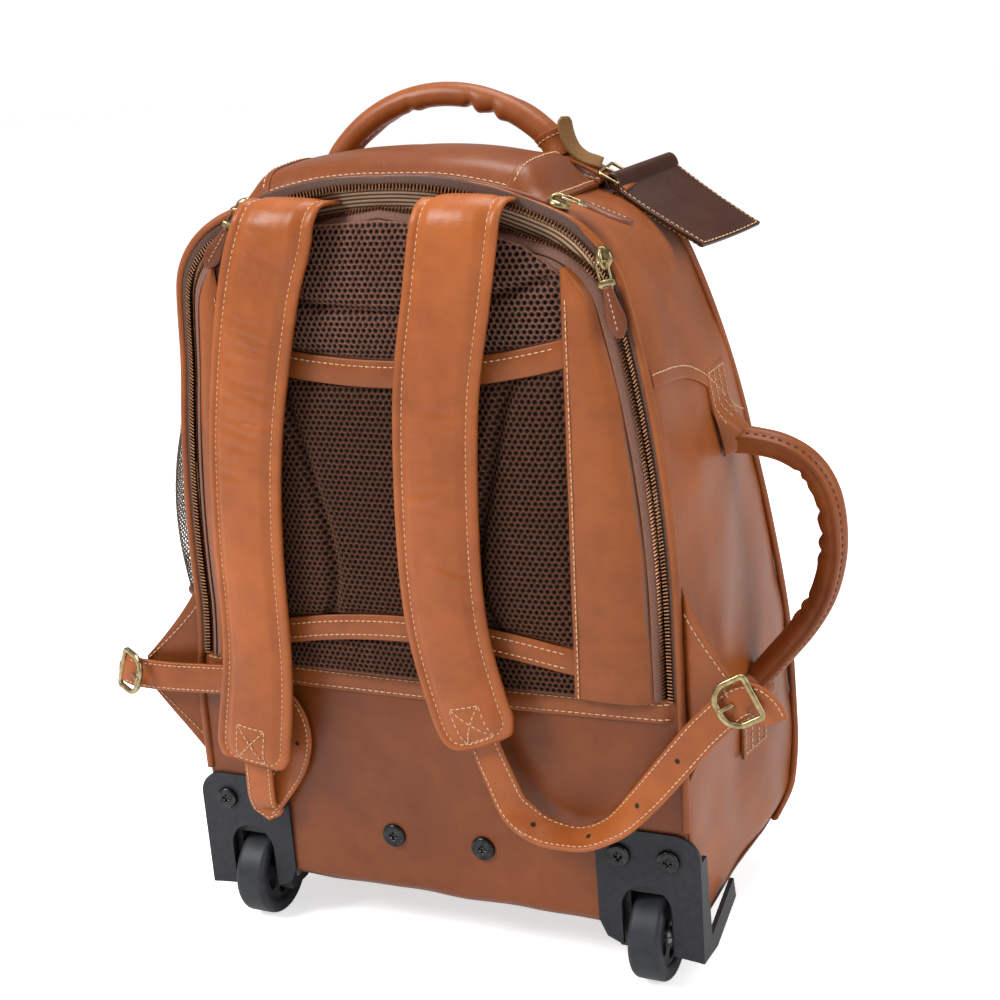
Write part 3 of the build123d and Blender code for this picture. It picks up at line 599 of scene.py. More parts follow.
crown_rows = []
full = arch(count=4001)
full_n = arch_normals(full)
for v in V_STEPS:
    zs = smooth_ramp(v * SEAM_RUN)
    inside = full[:, 1] >= zs
    first = np.argmax(inside)
    last = len(full) - 1 - np.argmax(inside[::-1])
    at = np.linspace(first, last, 241)
    p = np.stack([np.interp(at, np.arange(len(full)), full[:, k]) for k in range(2)], 1)
    n2 = np.stack([np.interp(at, np.arange(len(full)), full_n[:, k]) for k in range(2)], 1)
    out = side_bulge(p[:, 1], v) + 1.3
    q = p + n2 * out[:, None]
    crown_rows.append(np.stack([q[:, 0], v * front_y(p[:, 1]), q[:, 1]], 1))
P = wobble(np.array(crown_rows), 0.022, 2.2, 4.0)
grid("yoke", P, COGNAC, nodes=("case_shell",), thick=1.5, bevel=0.5, open_at=in_grip_slot)
N = surface_frame(P)
if ((P - CENTRE) * N).sum() < 0:
    N = -N
stitches("yoke_stitch", [(P[:, k] + N[:, k] * 0.15, N[:, k]) for k in (4, -5)])


def in_wheel_well(x, y, z):
    return abs(abs(x) - WHEEL_X) < 18.5 and y < 56.0 and z < 76.0


# bottom, from the back edge forward and up to the front panel's hinge
bottom_profile = np.vstack([[(1.5, 44.0), (3.0, 40.5), (7.0, 38.2)], resample(front_edge[:53], count=50)])
bottom_profile = np.vstack([bottom_profile[:3], [(60.0, 38.0), (100.0, 38.0)], bottom_profile[3:]])
bottom_profile = resample(bottom_profile, count=76)
xs = np.linspace(-170.0, 170.0, 180)
P = np.array([[(x, y, z) for x in xs] for y, z in bottom_profile])
grid("bottom", P, COGNAC_DARK, thick=1.4, open_at=in_wheel_well)


def lower_back(x, z):
    """Lower back panel of the case."""
    swell = 3.2 * math.sin(math.pi * min(max((z - 105) / 85.0, 0), 1)) * (1 - (x / 172.0) ** 4)
    low_edge = 5.0 * (max(46.0 - z, 0.0) / 8.0) ** 2
    return np.array([x, -0.6 - swell + low_edge, z])


P = np.array([[lower_back(x, z) for x in np.linspace(-169.5, 169.5, 200)]
    for z in np.linspace(38.2, 190.0, 76)])
# the lower back takes the darker leather copy, painted shade
grid("lower_back", wobble(P, 0.03, 1.2, 9.0), COGNAC_LOW, thick=1.4, open_at=in_wheel_well)


def seam_band(x, z):
    tuck = 3.4 * ease(abs(x), 157.0, 167.0)
    return np.array([x, -3.0 - 1.1 * math.sin(math.pi * min(max((z - 181.5) / 16.0, 0), 1)) + tuck, z])


def band_z(x):
    return 2.2 * (x / 166.0) ** 2 - 1.5


P = np.array([[seam_band(x, z + 0 * x) + [0, 0, band_z(x)] for x in np.linspace(-167.5, 167.5, 140)]
    for z in np.linspace(181.5, 197.5, 12)])
grid("seam_band", P, COGNAC, thick=2.2, bevel=0.6)
runs = []
for z in (184.6, 194.2):
    pts = np.array([seam_band(x, z) + [0, -0.15, band_z(x)] for x in np.linspace(-163, 163, 200)])
    runs.append((pts, TO_BACK))
stitches("seam_band_stitch", runs, pitch=4.4, length=3.3)


# ---------------------------------------------------------------- piping
def edge_tube(name, side, y_of, radius, low, nodes):
    p = arch(side, side, low, 1201)
    y = y_of(p[:, 1])
    path = resample(np.stack([p[:, 0], y, p[:, 1]], 1), count=421)
    grid(name, tube(path, radius, 12, up=(0, 1, 0.01)), COGNAC, close_v=True, caps=True, nodes=nodes)


edge_tube("piping_back", 0.6, lambda z: -0.9 + 0 * z, 2.7, 112.0, ("back_piping",))
edge_tube("piping_front", -2.4, lambda z: front_y(z) - 2.4, 2.5, 39.5, ("front_piping",))


# ---------------------------------------------------------------- zips
def zip_line(closed, opened, low):
    """Outline inset by closed (side, top) down the sides and by opened across the crown."""
    p, q = arch(*closed, low, 321), arch(*opened, low, 321)
    w = ease(p[:, 0], -106, -86) * (1 - ease(p[:, 0], 120, 138))
    return p * (1 - w[:, None]) + q * w[:, None], w


def band_between(name, pa, pb, ya, yb, material, slot, nodes=(), steps=8, crown=0.0):
    """A strip between two outlines, y at each edge, domed by crown."""
    w = np.linspace(0, 1, steps)
    P = np.zeros((321, steps, 3))
    for k, t in enumerate(w):
        q = pa * (1 - t) + pb * t
        P[:, k, 0], P[:, k, 2] = q[:, 0], q[:, 1]
        P[:, k, 1] = ya * (1 - t) + yb * t - crown * math.sin(math.pi * t)
    grid(name, P, material, slot, thick=0.8, nodes=nodes)
    return P


def teeth(name, rows, material, slot, pitch=2.2, width=4.2, thick=1.25, high=1.4, body="case"):
    """Zip teeth along rows of (points, across direction, normal, phase)."""
    box = np.array([(-1, -1, 0), (1, -1, 0), (1, 1, 0), (-1, 1, 0), (-.8, -.6, 1), (.8, -.6, 1), (.8, .6, 1),
        (-.8, .6, 1)], float)
    bf = [(0, 3, 2, 1), (4, 5, 6, 7), (0, 1, 5, 4), (1, 2, 6, 5), (2, 3, 7, 6), (3, 0, 4, 7)]
    co, f, start = [], [], 0
    for pts, across, nrm, phase in rows:
        both = np.hstack([pts, np.broadcast_to(across, pts.shape), np.broadcast_to(nrm, pts.shape)])
        s = run_length(pts)
        at = np.arange(phase * pitch, s[-1], pitch)
        row = np.stack([np.interp(at, s, both[:, k]) for k in range(9)], 1)
        c, ac, nn = row[:, :3], unit(row[:, 3:6]), unit(row[:, 6:])
        al = unit(np.cross(ac, nn))
        q = (c[:, None] + box[None, :, :1] * width / 2 * ac[:, None] + box[None, :, 1:2] * thick / 2
            * al[:, None] + box[None, :, 2:] * high * nn[:, None])
        co.append(q.reshape(-1, 3))
        for _ in range(len(at)):
            f += [[start + k for k in face] for face in bf]
            start += 8
    return make(name, np.vstack(co), f, material, slot, body=body, smooth=False)


ZIP_LOW = 197.0
case_edge, wide = zip_line((2.6, 3.0), (2.6, -2.2), ZIP_LOW)
case_line, _ = zip_line((6.4, 8.4), (8.4, 3.0), ZIP_LOW)
panel_line, _ = zip_line((10.4, 12.2), (11.6, 15.2), ZIP_LOW)
case_P = band_between("zip_tape_case", case_edge, case_line, -2.2 - 1.5 * wide, -1.3 - 2.9 * wide, TAPE, "zip",
    ("back_zip_case_row",), crown=0.2)
panel_P = band_between("zip_tape_panel", panel_line, arch(15.4, 21.0, ZIP_LOW, 321), -1.3, -6.2, BINDING,
    "zip", ("back_zip_panel_row",), crown=1.0)
case_row, panel_row = case_P[:, -1], panel_P[:, 0]
inward = unit(case_P[:, -1] - case_P[:, 0])
teeth("zip_teeth_case", [(case_row + inward * 0.2 + [0, -0.4, 0], inward, TO_BACK, 0.0)], TEETH, "zip")
outward = unit(panel_P[:, 0] - panel_P[:, 1])
teeth("zip_teeth_panel", [(panel_row + outward * 0.3 + [0, -0.4, 0], outward, TO_BACK, 0.5)], TEETH, "zip")

# striped lining inside the gap: under the crown, then down the divider
p = arch(9.4, 4.4, 330.0, 241)
depth = [(0.0, 0.0), (1.6, 1.6), (2.6, 4.0), (3.4, 7.0), (4.2, 10.0), (5.0, 13.0), (6.5, 18.0), (9.0, 26.0),
    (14.0, 60.0)]
P = np.zeros((241, len(depth), 3))
uv = np.zeros((241, len(depth), 2))
along = run_length(p)
run = 0.0
for k, (y, drop) in enumerate(depth):
    if k:
        run += math.hypot(y - depth[k - 1][0], drop - depth[k - 1][1])
    shrink = 1 - min(drop, 8.0) / 150.0
    P[:, k] = np.stack([p[:, 0] * shrink, np.full(241, y - 0.6), p[:, 1] - drop], 1)
    uv[:, k] = np.stack([along, np.full(241, run)], 1)
grid("gap_lining_cloth", P, LINING, "lining", uv=uv, nodes=("gap_lining",), thick=0.0, outward=(0, -400, 300))

# ---------------------------------------------------------------- padded back panel
HOLE_PITCH = 3.9
PAD_HALF = 113.0    # the pads reach this far out, under the leather strips


def hole_mask(x, z, pitch=HOLE_PITCH, size=0.42):
    """1 in the middle of a hole of the hexagonal mesh, 0 on its yarns."""
    tall = pitch * math.sqrt(3)
    best = np.full(np.shape(x), 9e9)
    for ox, oz in ((0, 0), (0.5, 0.5)):
        dx = (x / pitch + ox + 0.5) % 1 - 0.5
        dz = (z / tall + oz + 0.5) % 1 - 0.5
        best = np.minimum(best, np.hypot(dx * pitch, dz * tall))
    return 1 - ease(best, pitch * (size - 0.12), pitch * (size + 0.06))


def strip_inner(z):
    """Half width at which the leather side strips begin."""
    return np.interp(z, [196, 320, 437, 477], [106.0, 109.5, 112.5, 114.0])


def mesh_pad(name, low, high, height, seams, nodes, step=0.85, sew=2.5):
    """A mesh cushion between z = low(x) and high(x), sewn under the strips, standing height off the panel."""
    nx = int(2 * PAD_HALF / step)
    xs = np.linspace(-PAD_HALF, PAD_HALF, nx)
    lo, hi = low(xs), high(xs)
    nz = int((hi - lo).max() / step)
    t = np.linspace(0, 1, nz)
    X = np.broadcast_to(xs, (nz, nx))
    Z = lo + (hi - lo) * t[:, None]
    edge = np.maximum(np.minimum(np.minimum(strip_inner(Z) - abs(X), Z - lo), hi - Z), 0)
    h = sew + (height - sew) * (1 - np.exp(-edge / 7.0))
    h = h + 1.5 * np.cos(np.pi * X / (2 * PAD_HALF)) - 0.5
    for pts, depth, wide in seams:
        pts = np.asarray(pts, float)
        dist = np.full(X.shape, 9e9)
        for a, b in zip(pts[:-1], pts[1:]):
            ab = b - a
            s = np.clip(((X - a[0]) * ab[0] + (Z - a[1]) * ab[1]) / (ab @ ab), 0, 1)
            dist = np.minimum(dist, np.hypot(X - a[0] - s * ab[0], Z - a[1] - s * ab[1]))
        h = h - depth * np.exp(-(dist / wide) ** 2)
    hole = hole_mask(X, Z)
    fade = ease(edge, 0.3, 2.0)
    h = np.maximum(h - 1.6 * hole * fade, 0.4)
    P = np.stack([X, -6.0 - h, Z], -1)
    # the upper pad takes the lighter mesh copy, painted light
    ob = grid(name, P, MESH_PAINTED_LIGHT if name == "mesh_upper" else MESH, "air_mesh", attrs={"hole": hole * fade},
        nodes=nodes, outward=(0, 50, 300))


def parabola(ends, mid):
    return lambda x: mid + (ends - mid) * (np.asarray(x, float) / 103.7) ** 2


def pad_top(x):
    return np.interp(abs(x), [0, 40, 70, 90, 104, 114], [482.5, 480.0, 474.5, 467.5, 458.0, 449.0])


pillow = smooth_path([(-104, 452), (-60, 437), (-26, 431), (10, 428), (50, 434), (104, 448)], 10)
mesh_pad("mesh_upper", parabola(412.4, 400.4), pad_top, 8.0, [(pillow, 5.0, 3.2)], ("upper_mesh_pad",))
groove_l = smooth_path([(-79, 396), (-72, 372), (-60, 328), (-51, 286), (-50, 260), (-58, 232)], 10)
groove_r = groove_l * [-1, 1]
mesh_pad("mesh_spine", parabola(227.4, 239.4), parabola(396.2, 384.2), 7.6,
    [(groove_l, 5.2, 4.0), (groove_r, 5.2, 4.0)], ("spine_mesh_pad",))
mesh_pad("mesh_lumbar", parabola(196.3, 196.8), parabola(211.2, 223.2), 5.0, [], ("lumbar_mesh_pad",))


def panel_band(name, low_ends, low_mid, high_ends, high_mid, nodes):
    lo, hi = parabola(low_ends, low_mid), parabola(high_ends, high_mid)
    half = float(strip_inner(low_ends)) + 0.8
    xs = np.linspace(-half, half, 110)
    base = -9.0 - 2.6 * (1 - (abs(xs) / half) ** 10) - 1.0 * np.cos(np.pi * xs / (2 * half))
    P = np.zeros((12, 110, 3))
    for k, t in enumerate(np.linspace(0, 1, 12)):
        z = lo(xs) - 1.0 + (hi(xs) - lo(xs) + 2.0) * t
        P[k] = np.stack([xs, base - 1.0 * math.sin(math.pi * t), z], 1)
    grid(name, P, COGNAC, nodes=nodes, thick=2.4, bevel=0.6)
    out = []
    for t in (0.2, 0.8):
        z = lo(xs) + (hi(xs) - lo(xs)) * t
        y = base - 1.0 * math.sin(math.pi * t) - 0.2
        out.append((np.stack([xs, y, z], 1)[3:-3], TO_BACK))
    return out


runs = panel_band("band_upper", 396.8, 384.8, 411.8, 399.8, ("upper_panel_band",))
runs += panel_band("band_lower", 211.8, 223.8, 226.8, 238.8, ("lower_panel_band",))
stitches("panel_band_stitch", runs[1:2] + runs[2:], pitch=4.0)

# leather strips down both sides of the panel, rolling over its edge into the zip
STRIP_ROWS = 120
strip_runs = []
for sign, end in ((1, "r"), (-1, "l")):
    z = np.linspace(196.0, 455.0, STRIP_ROWS)
    outer = arch(15.2, 20.6, 190.0, 3001)[:1501]
    x_out = np.interp(z, outer[:, 1], outer[:, 0])
    x_in = np.minimum(strip_inner(z), x_out - 1.0)
    P = np.zeros((STRIP_ROWS, 16, 3))
    for k, t in enumerate(np.linspace(0, 1, 16)):
        x = x_in + (x_out - x_in) * t
        y = -9.9 - 1.6 * math.sin(math.pi * min(t * 1.15, 1)) + 5.2 * max(t - 0.72, 0) ** 1.6 / 0.28 ** 1.6
        P[:, k] = np.stack([sign * x, np.full(STRIP_ROWS, y), z], 1)
    grid("panel_strip_" + end, wobble(P, 0.03, 0.8, 7.0), COGNAC, thick=2.0, bevel=0.5, outward=(0, 60, 300),
        nodes=("panel_side_strips",))
    x = sign * (x_in + 2.6)
    strip_runs.append((np.stack([x, np.full(STRIP_ROWS, -10.8), z], 1)[:112], TO_BACK))
stitches("panel_strip_stitch", strip_runs, pitch=3.8)

# the panel itself: its bound edge shows round the pads
p = arch(17.0, 21.5, 196.0, 241)
inner = arch(48.0, 48.0, 230.0, 241)
P = np.zeros((241, 6, 3))
for k, t in enumerate(np.linspace(0, 1, 6)):
    q = p * (1 - t) + inner * t
    P[:, k] = np.stack([q[:, 0], np.full(241, -6.3 - 0.8 * t), q[:, 1]], 1)
grid("panel_face", P, BINDING, nodes=("back_panel",), thick=6.0, outward=(0, 60, 300))

# ---------------------------------------------------------------- padded shoulder straps
STRAP_HALF = 27.0
EDGE_HEIGHT = [(0, 1.4), (0.8, 2.5), (3.0, 3.1), (5.2, 2.6), (6.3, 1.7), (7.6, 2.7), (12.0, 5.2), (20.0, 6.4),
    (27, 6.7)]


def padded_strap(name, centres, creases, nodes):
    """A padded strap: its neck comes out under the crown, rolls over and hangs down the back."""
    down = smooth_path([(x, -23.4, z) for x, z in centres[1:]], 30)
    x0, x1 = centres[0][0], centres[1][0]
    lead = x0 + (x1 - x0) * 0.12
    start = [(x0 + 4 * np.sign(x0 - x1), 18.0, 485.5), (x0, 7.0, 489.5), (x0, -4.0, 492.3),
        (lead, -13.5, 491.8), (x0 + (x1 - x0) * 0.25, -20.3, 486.0), (x0 + (x1 - x0) * 0.42, -23.2, 474.0)]
    path = resample(smooth_path(start + [tuple(p) for p in down[::30]] + [tuple(down[-1])], 12), step=1.6)
    t = tangents(path)
    x_dir = np.array([1.0, 0, 0])
    side = unit(x_dir - (t @ x_dir)[:, None] * t)
    nrm = np.cross(t, side)
    s = run_length(path)
    total, r = s[-1], 15.0
    half = np.full(len(s), STRAP_HALF)
    near = s > total - r
    half[near] = STRAP_HALF - r + np.sqrt(np.maximum(r * r - (s[near] - (total - r)) ** 2, 0))
    neck = ease(s, 16.0, 48.0)
    n_a = 57
    a = np.sin(np.linspace(-math.pi / 2, math.pi / 2, n_a))
    A = half[:, None] * a
    S = np.broadcast_to(s[:, None], A.shape)
    to_side = half[:, None] - abs(A)
    to_end = total - S
    cx = np.maximum(abs(A) - (STRAP_HALF - r), 0)
    cs = np.maximum(S - (total - r), 0)
    corner = np.where((cx > 0) & (cs > 0), r - np.hypot(cx, cs), 9e9)
    dist = np.maximum(np.minimum(np.minimum(to_side, to_end), corner), 0)
    top = ramp(dist, EDGE_HEIGHT) * (0.42 + 0.58 * neck[:, None])
    bottom = -(0.9 + ramp(dist, [(0, 0.2), (3, 1.6), (12, 4.2), (27, 5.0)])) * (0.42 + 0.58 * neck[:, None])
    for s0, amp, slope, a0, reach in creases:
        local = np.exp(-((A - a0) / reach) ** 2) * ease(dist, 4.0, 9.0)
        off = S - s0 - slope * A
        top = top - amp * np.exp(-(off / 1.9) ** 2) * local + 0.5 * amp * np.exp(-((off - 4)
            / 2.6) ** 2) * local
    wave = np.array([noise.noise(Vector((A[i, j] * 0.05, S[i, j] * 0.03, 2.0 + path[0, 0])))
        for i in range(len(s)) for j in range(n_a)])
    top = top + 0.7 * wave.reshape(A.shape) * ease(dist, 4.0, 9.0)
    end_sag = (S / total) ** 30 * 4.0 * np.cos(A / STRAP_HALF * math.pi / 2)
    base = path[:, None] + side[:, None] * A[..., None] + t[:, None] * end_sag[..., None]
    T = base + nrm[:, None] * top[..., None]
    B = base + nrm[:, None] * bottom[..., None]
    P = np.concatenate([T, B[:, ::-1]], 1)
    ob = grid(name, P, COGNAC_STRAP, close_v=True, caps=True, nodes=nodes)

    def on_top(u, w):
        """Point on the strap's face, u across and w along, both in mm."""
        i = np.interp(w, s, np.arange(len(s)))
        k = int(min(i, len(s) - 2))
        f = i - k
        q = path[k] * (1 - f) + path[k + 1] * f
        sd = side[k] * (1 - f) + side[k + 1] * f
        nn = nrm[k] * (1 - f) + nrm[k + 1] * f
        hh = half[k] * (1 - f) + half[k + 1] * f
        dd = min(hh - abs(u), total - w)
        if abs(u) > STRAP_HALF - r and w > total - r:
            dd = min(dd, r - math.hypot(abs(u) - STRAP_HALF + r, w - total + r))
        sag_here = (w / total) ** 30 * 4.0 * math.cos(u / STRAP_HALF * math.pi / 2)
        h = ramp(max(dd, 0), EDGE_HEIGHT) * (0.42 + 0.58 * float(ease(w, 16.0, 48.0)))
        return q + sd * u + t[k] * sag_here + nn * (h + 0.1), nn

    inset = 6.3
    line = [(STRAP_HALF - inset, w) for w in np.arange(14.0, total - r, 2.0)]
    rr = r - inset
    line += [(STRAP_HALF - r + rr * math.cos(q), total - r + rr * math.sin(q))
        for q in np.linspace(0, math.pi / 2, 10)]
    line += [(-x, w) for x, w in line[::-1]]
    pts = [on_top(u, w) for u, w in line]
    run = (np.array([q[0] for q in pts]), np.array([q[1] for q in pts]))
    return run, on_top, total


def cross_box(on_top, u0, w0, half_u, half_w, turn):
    """Box with crossed diagonals of stitching."""
    c, sn = math.cos(turn), math.sin(turn)
    corner = [(-half_u, -half_w), (half_u, -half_w), (half_u, half_w), (-half_u, half_w)]
    runs = []
    for a, b in ((0, 1), (1, 2), (2, 3), (3, 0), (0, 2), (1, 3)):
        line = []
        for f in np.linspace(0, 1, 12):
            x = corner[a][0] * (1 - f) + corner[b][0] * f
            y = corner[a][1] * (1 - f) + corner[b][1] * f
            line.append(on_top(u0 + x * c - y * sn, w0 + x * sn + y * c))
        runs.append((np.array([q[0] for q in line]), np.array([q[1] for q in line])))
    return runs


def random_creases(lo, hi, count, amp):
    return [(random.uniform(lo, hi), amp * random.uniform(0.4, 1.0), random.uniform(-0.12, 0.12),
        random.uniform(-12, 12), random.uniform(8, 17)) for _ in range(count)]


creases_l = random_creases(110, 260, 16, 0.9) + random_creases(40, 110, 4, 0.5)
creases_r = random_creases(150, 330, 7, 0.55) + [(250, 0.9, 0.35, 10, 9), (205, 0.6, -0.2, -8, 12)]
run_l, top_l, total_l = padded_strap("strap_padded_l", [(-54, 500), (-76, 440), (-96, 360), (-105, 290),
    (-109, 200), (-118, 138)], creases_l, ("shoulder_strap_l",))
run_r, top_r, total_r = padded_strap("strap_padded_r", [(60, 500), (48, 440), (36, 380), (30, 300), (31, 240),
    (41, 190), (49, 168)], creases_r, ("shoulder_strap_r",))
runs = [run_l, run_r]
runs += cross_box(top_l, 0.0, total_l - 19.0, 10.0, 12.0, 0.0)
runs += cross_box(top_r, 0.0, total_r - 17.0, 10.0, 11.0, 0.0)
stitches("strap_stitch", runs, pitch=3.9)


# ---------------------------------------------------------------- narrow straps
def flat_strap(name, path, normals, width, thick, material, body="case", nodes=(), pointed=0.0, taper=None):
    """A strap of leather along a path, with rounded edges; normals say which way its face looks."""
    path = resample(np.hstack([path, np.broadcast_to(normals, np.shape(path))]), step=1.5)
    path, up = path[:, :3], unit(path[:, 3:])
    t = tangents(path)
    side = unit(np.cross(t, up))
    up = unit(np.cross(side, t))
    s = run_length(path)
    w = np.full(len(s), width / 2)
    if taper:
        w = w * ramp(s / s[-1], taper)
    if pointed:
        w = np.where(s > s[-1] - pointed,
            width / 2 * np.sqrt(np.maximum(1 - ((s - s[-1] + pointed) / pointed) ** 2, 0.003)), w)
    profile = [(-1, 0), (-0.985, 0.34), (-0.93, 0.5), (-0.78, 0.46), (-0.7, 0.5), (-0.35, 0.56), (0, 0.58),
        (0.35, 0.56), (0.7, 0.5), (0.78, 0.46), (0.93, 0.5), (0.985, 0.34), (1, 0), (0.985, -0.34),
        (0.93, -0.5), (0, -0.5), (-0.93, -0.5), (-0.985, -0.34)]
    P = np.array([[path[i] + side[i] * (a * w[i]) + up[i] * (b * thick) for a, b in profile]
        for i in range(len(s))])
    grid(name, P, material, close_v=True, caps=True, body=body, nodes=nodes)
    edge_runs = []
    keep = s < s[-1] - pointed
    for sg in (-0.78, 0.78):
        edge_runs.append((path[keep] + side[keep] * (sg * w[keep])[:, None] + up[keep] * thick * 0.52,
            up[keep]))
    return edge_runs, (path, side, up, s)


def punched(name, data, spots, body="case", radius=1.5, top=1.64):
    """Punched holes with a raised rim, at distances along a strap; each hole is capped by a near-black disc,
    painted shade inside the hole.
    """
    path, side, up, s = data
    co, f, start = [], [], 0
    ang = circle(16)
    for d in spots:
        c, sd, nn = (np.array([np.interp(d, s, q[:, k]) for k in range(3)]) for q in (path, side, up))
        t = np.cross(nn, sd)
        for rr, h in ((radius * 1.15, top - 0.1), (radius * 1.05, top + 0.12), (radius * 0.95, top + 0.1),
                (radius * 0.85, top + 0.04)):
            co.append(c + nn * h + rr * (np.cos(ang)[:, None] * sd + np.sin(ang)[:, None] * t))
        f += grid_faces(4, 16, False, True, start)
        f.append([start + 48 + k for k in range(16)])
        start += 64
    return make(name, np.vstack(co), f, HOLE_SHADE, body=body, recalc=True)


# painted shade: near-black leather for the insides of the punched holes
HOLE_SHADE = leather("punched_hole_shade", (0.012, 0.005, 0.003), (0.03, 0.011, 0.006), (0.6, 0.8), 0.1, 0.0)

NARROW = {"width": 20.5, "thick": 2.8, "material": COGNAC_STRAP}      # the adjusting straps
BUCKLE_R = np.array([208.0, -17.0, 208.0])
BUCKLE_L = np.array([-212.0, -17.0, 184.0])
narrow_runs = []
route = smooth_path([(43, -17.0, 178), (48, -17.4, 160), (56, -17.8, 140), (64, -18.0, 122), (77, -18.2, 111),
    (93, -18, 106.5), (111, -17.6, 107.5), (130, -17, 118), (148, -16.6, 137), (167, -16.6, 161),
    (185, -16.6, 184), (199, -16.8, 199), (209, -17.0, 208), (217, -15.0, 209), (223, -12.0, 203),
    (227, -10.0, 194)], 14)
turn = ramp(route[:, 0], [(43, 0.0), (54, 0.1), (76, 1.0), (100, 1.3), (125, 1.15), (155, 0.6), (180, 0.15),
    (230, 0.0)])
normals = np.stack([0 * turn, -np.cos(turn), np.sin(turn)], 1)
e, narrow_r = flat_strap("strap_narrow_r", route, normals, **NARROW, nodes=("lower_strap_r",), pointed=1.5)
narrow_runs += e
route = smooth_path([(-118, -17.5, 150), (-119, -18, 136), (-120, -17.6, 118), (-121.5, -15.5, 101),
    (-121.5, -11.0, 93), (-118, -8.0, 97)], 12)
e, _ = flat_strap("strap_narrow_l_down", route, TO_BACK, **NARROW)
narrow_runs += e
route = smooth_path([(-124, -9.0, 93), (-112, -8.0, 107), (-99, -7.0, 126), (-93, -7.0, 146), (-97, -7.5, 164),
    (-112, -8.5, 177), (-135, -9.5, 182), (-160, -11.0, 182), (-186, -14.0, 182), (-212, -16.6, 184),
    (-226, -13.5, 188)], 14)
e, narrow_l = flat_strap("strap_narrow_l", route, np.array([-0.12, -1.0, 0.05]), **NARROW,
    nodes=("lower_strap_l",), pointed=8.0)
narrow_runs += e
stitches("strap_narrow_stitch", narrow_runs, pitch=3.6, length=2.7)
punched("strap_holes_r", narrow_r, [76, 114, 156, 198], radius=1.5)
punched("strap_holes_l", narrow_l, [58, 108], radius=1.5)

# triangular leather tabs from the side seams to the buckles, in two layers
tab_runs = []
for sign, buckle, end in ((1, BUCKLE_R, "r"), (-1, BUCKLE_L, "l")):
    x, z = buckle[0], buckle[2]
    n_t, n_w = 40, 22
    P = np.zeros((n_t, n_w, 3))
    for i, tt in enumerate(np.linspace(0, 1, n_t)):
        up_z = z + 60 + (8.5 - 60) * tt ** 0.85
        dn_z = z - 64 + (-8.5 + 64) * tt ** 0.9
        for j, w in enumerate(np.linspace(0, 1, n_w)):
            zz = dn_z + (up_z - dn_z) * w
            xx = sign * 171.5 + (x - sign * 5 - sign * 171.5) * tt - sign * 2.0 * math.sin(math.pi * w) * (1
                - tt)
            P[i, j] = (xx, 1.5 + (-11.5) * tt ** 0.8 + 1.2 * math.sin(math.pi * w), zz)
    nodes = ("strap_tabs",) if sign > 0 else ()
    grid("tab_" + end, P, COGNAC, thick=2.4, bevel=0.6, nodes=nodes, outward=(0, 200, 250))
    for k in (2, -3):
        tab_runs.append((P[2:-1, k] + [0, -0.25, 0], TO_BACK))
stitches("tab_stitch", tab_runs, pitch=3.8)


# ---------------------------------------------------------------- buckles
def sweep_ring(name, loop, normal, profile, material, slot, body="case", nodes=()):
    """A closed band: loop of points in mm, profile (across, along normal) round its section."""
    loop = np.asarray(loop, float)
    t = unit(np.roll(loop, -1, 0) - np.roll(loop, 1, 0))
    nn = np.broadcast_to(unit(normal), loop.shape)
    out = unit(np.cross(t, nn))
    P = np.array([[loop[i] + out[i] * a + nn[i] * b for a, b in profile] for i in range(len(loop))])
    return grid(name, P, material, slot, close_u=True, close_v=True, body=body, nodes=nodes)


def corners(half_a, half_b, radii, steps):
    """A rectangle with rounded corners as (a, b) points."""
    pts = []
    for (sx, sy), q0, r in zip(((1, 1), (-1, 1), (-1, -1), (1, -1)), (0, 90, 180, 270), radii):
        for q in np.linspace(q0, q0 + 90, steps):
            a = math.radians(q)
            pts.append((sx * (half_a - r) + r * math.cos(a), sy * (half_b - r) + r * math.sin(a)))
    return pts


def rounded_loop(c, e1, e2, h1, h2, radius, count=72):
    """Points on a rounded rectangle in the plane of e1 and e2; radius is one or four (corner) radii."""
    pts = corners(h1, h2, radius if hasattr(radius, "__len__") else [radius] * 4, 10)
    pts = resample(np.array(pts + pts[:1]), count=count + 1)[:-1]
    return np.array([c + x * e1 + y * e2 for x, y in pts])


def round_profile(wide, deep, soft=0.35):
    """Rounded rectangular section, wide across and deep along the normal."""
    return corners(wide / 2, deep / 2, [min(wide, deep) * soft] * 4, 4)


def rod(name, a, b, radius, material, slot, body="case", flat=1.0, nodes=(), up=(0, 1, 0)):
    path = resample(np.array([a, b], float), count=14)
    fade = np.sqrt(np.clip(1 - (2 * np.linspace(0, 1, 14) - 1) ** 10, 0.02, 1))
    return grid(name, tube(path, radius * fade, 12, up=up, flat=flat), material, slot, close_v=True, caps=True,
        body=body, nodes=nodes)


def strap_buckle(end, c, e1, normal, h1, h2):
    e1 = unit(e1 - np.dot(e1, unit(normal)) * unit(normal))
    nn = unit(normal)
    e2 = np.cross(nn, e1)
    c = c + nn * 3.2
    loop = rounded_loop(c, e1, e2, h1, h2, [2.5, 11.0, 11.0, 2.5], 96)
    sweep_ring(f"buckle_{end}", loop, nn, round_profile(3.6, 3.0, 0.35), BRASS, "brass",
        nodes=("strap_buckles",) if end == "r" else ())
    rod(f"buckle_bar_{end}", c + e2 * (h2 - 1) - e1 * 3 - nn * 3.4, c - e2 * (h2 - 1) - e1 * 3 - nn * 3.4, 1.2,
        BRASS, "brass", up=nn)
    rod(f"buckle_prong_{end}", c - e1 * (h1 + 0.6) + nn * 2.2, c - e1 * 1.5 - nn * 0.6, 1.25, BRASS, "brass",
        flat=0.9, nodes=("buckle_prongs",) if end == "r" else (), up=nn)


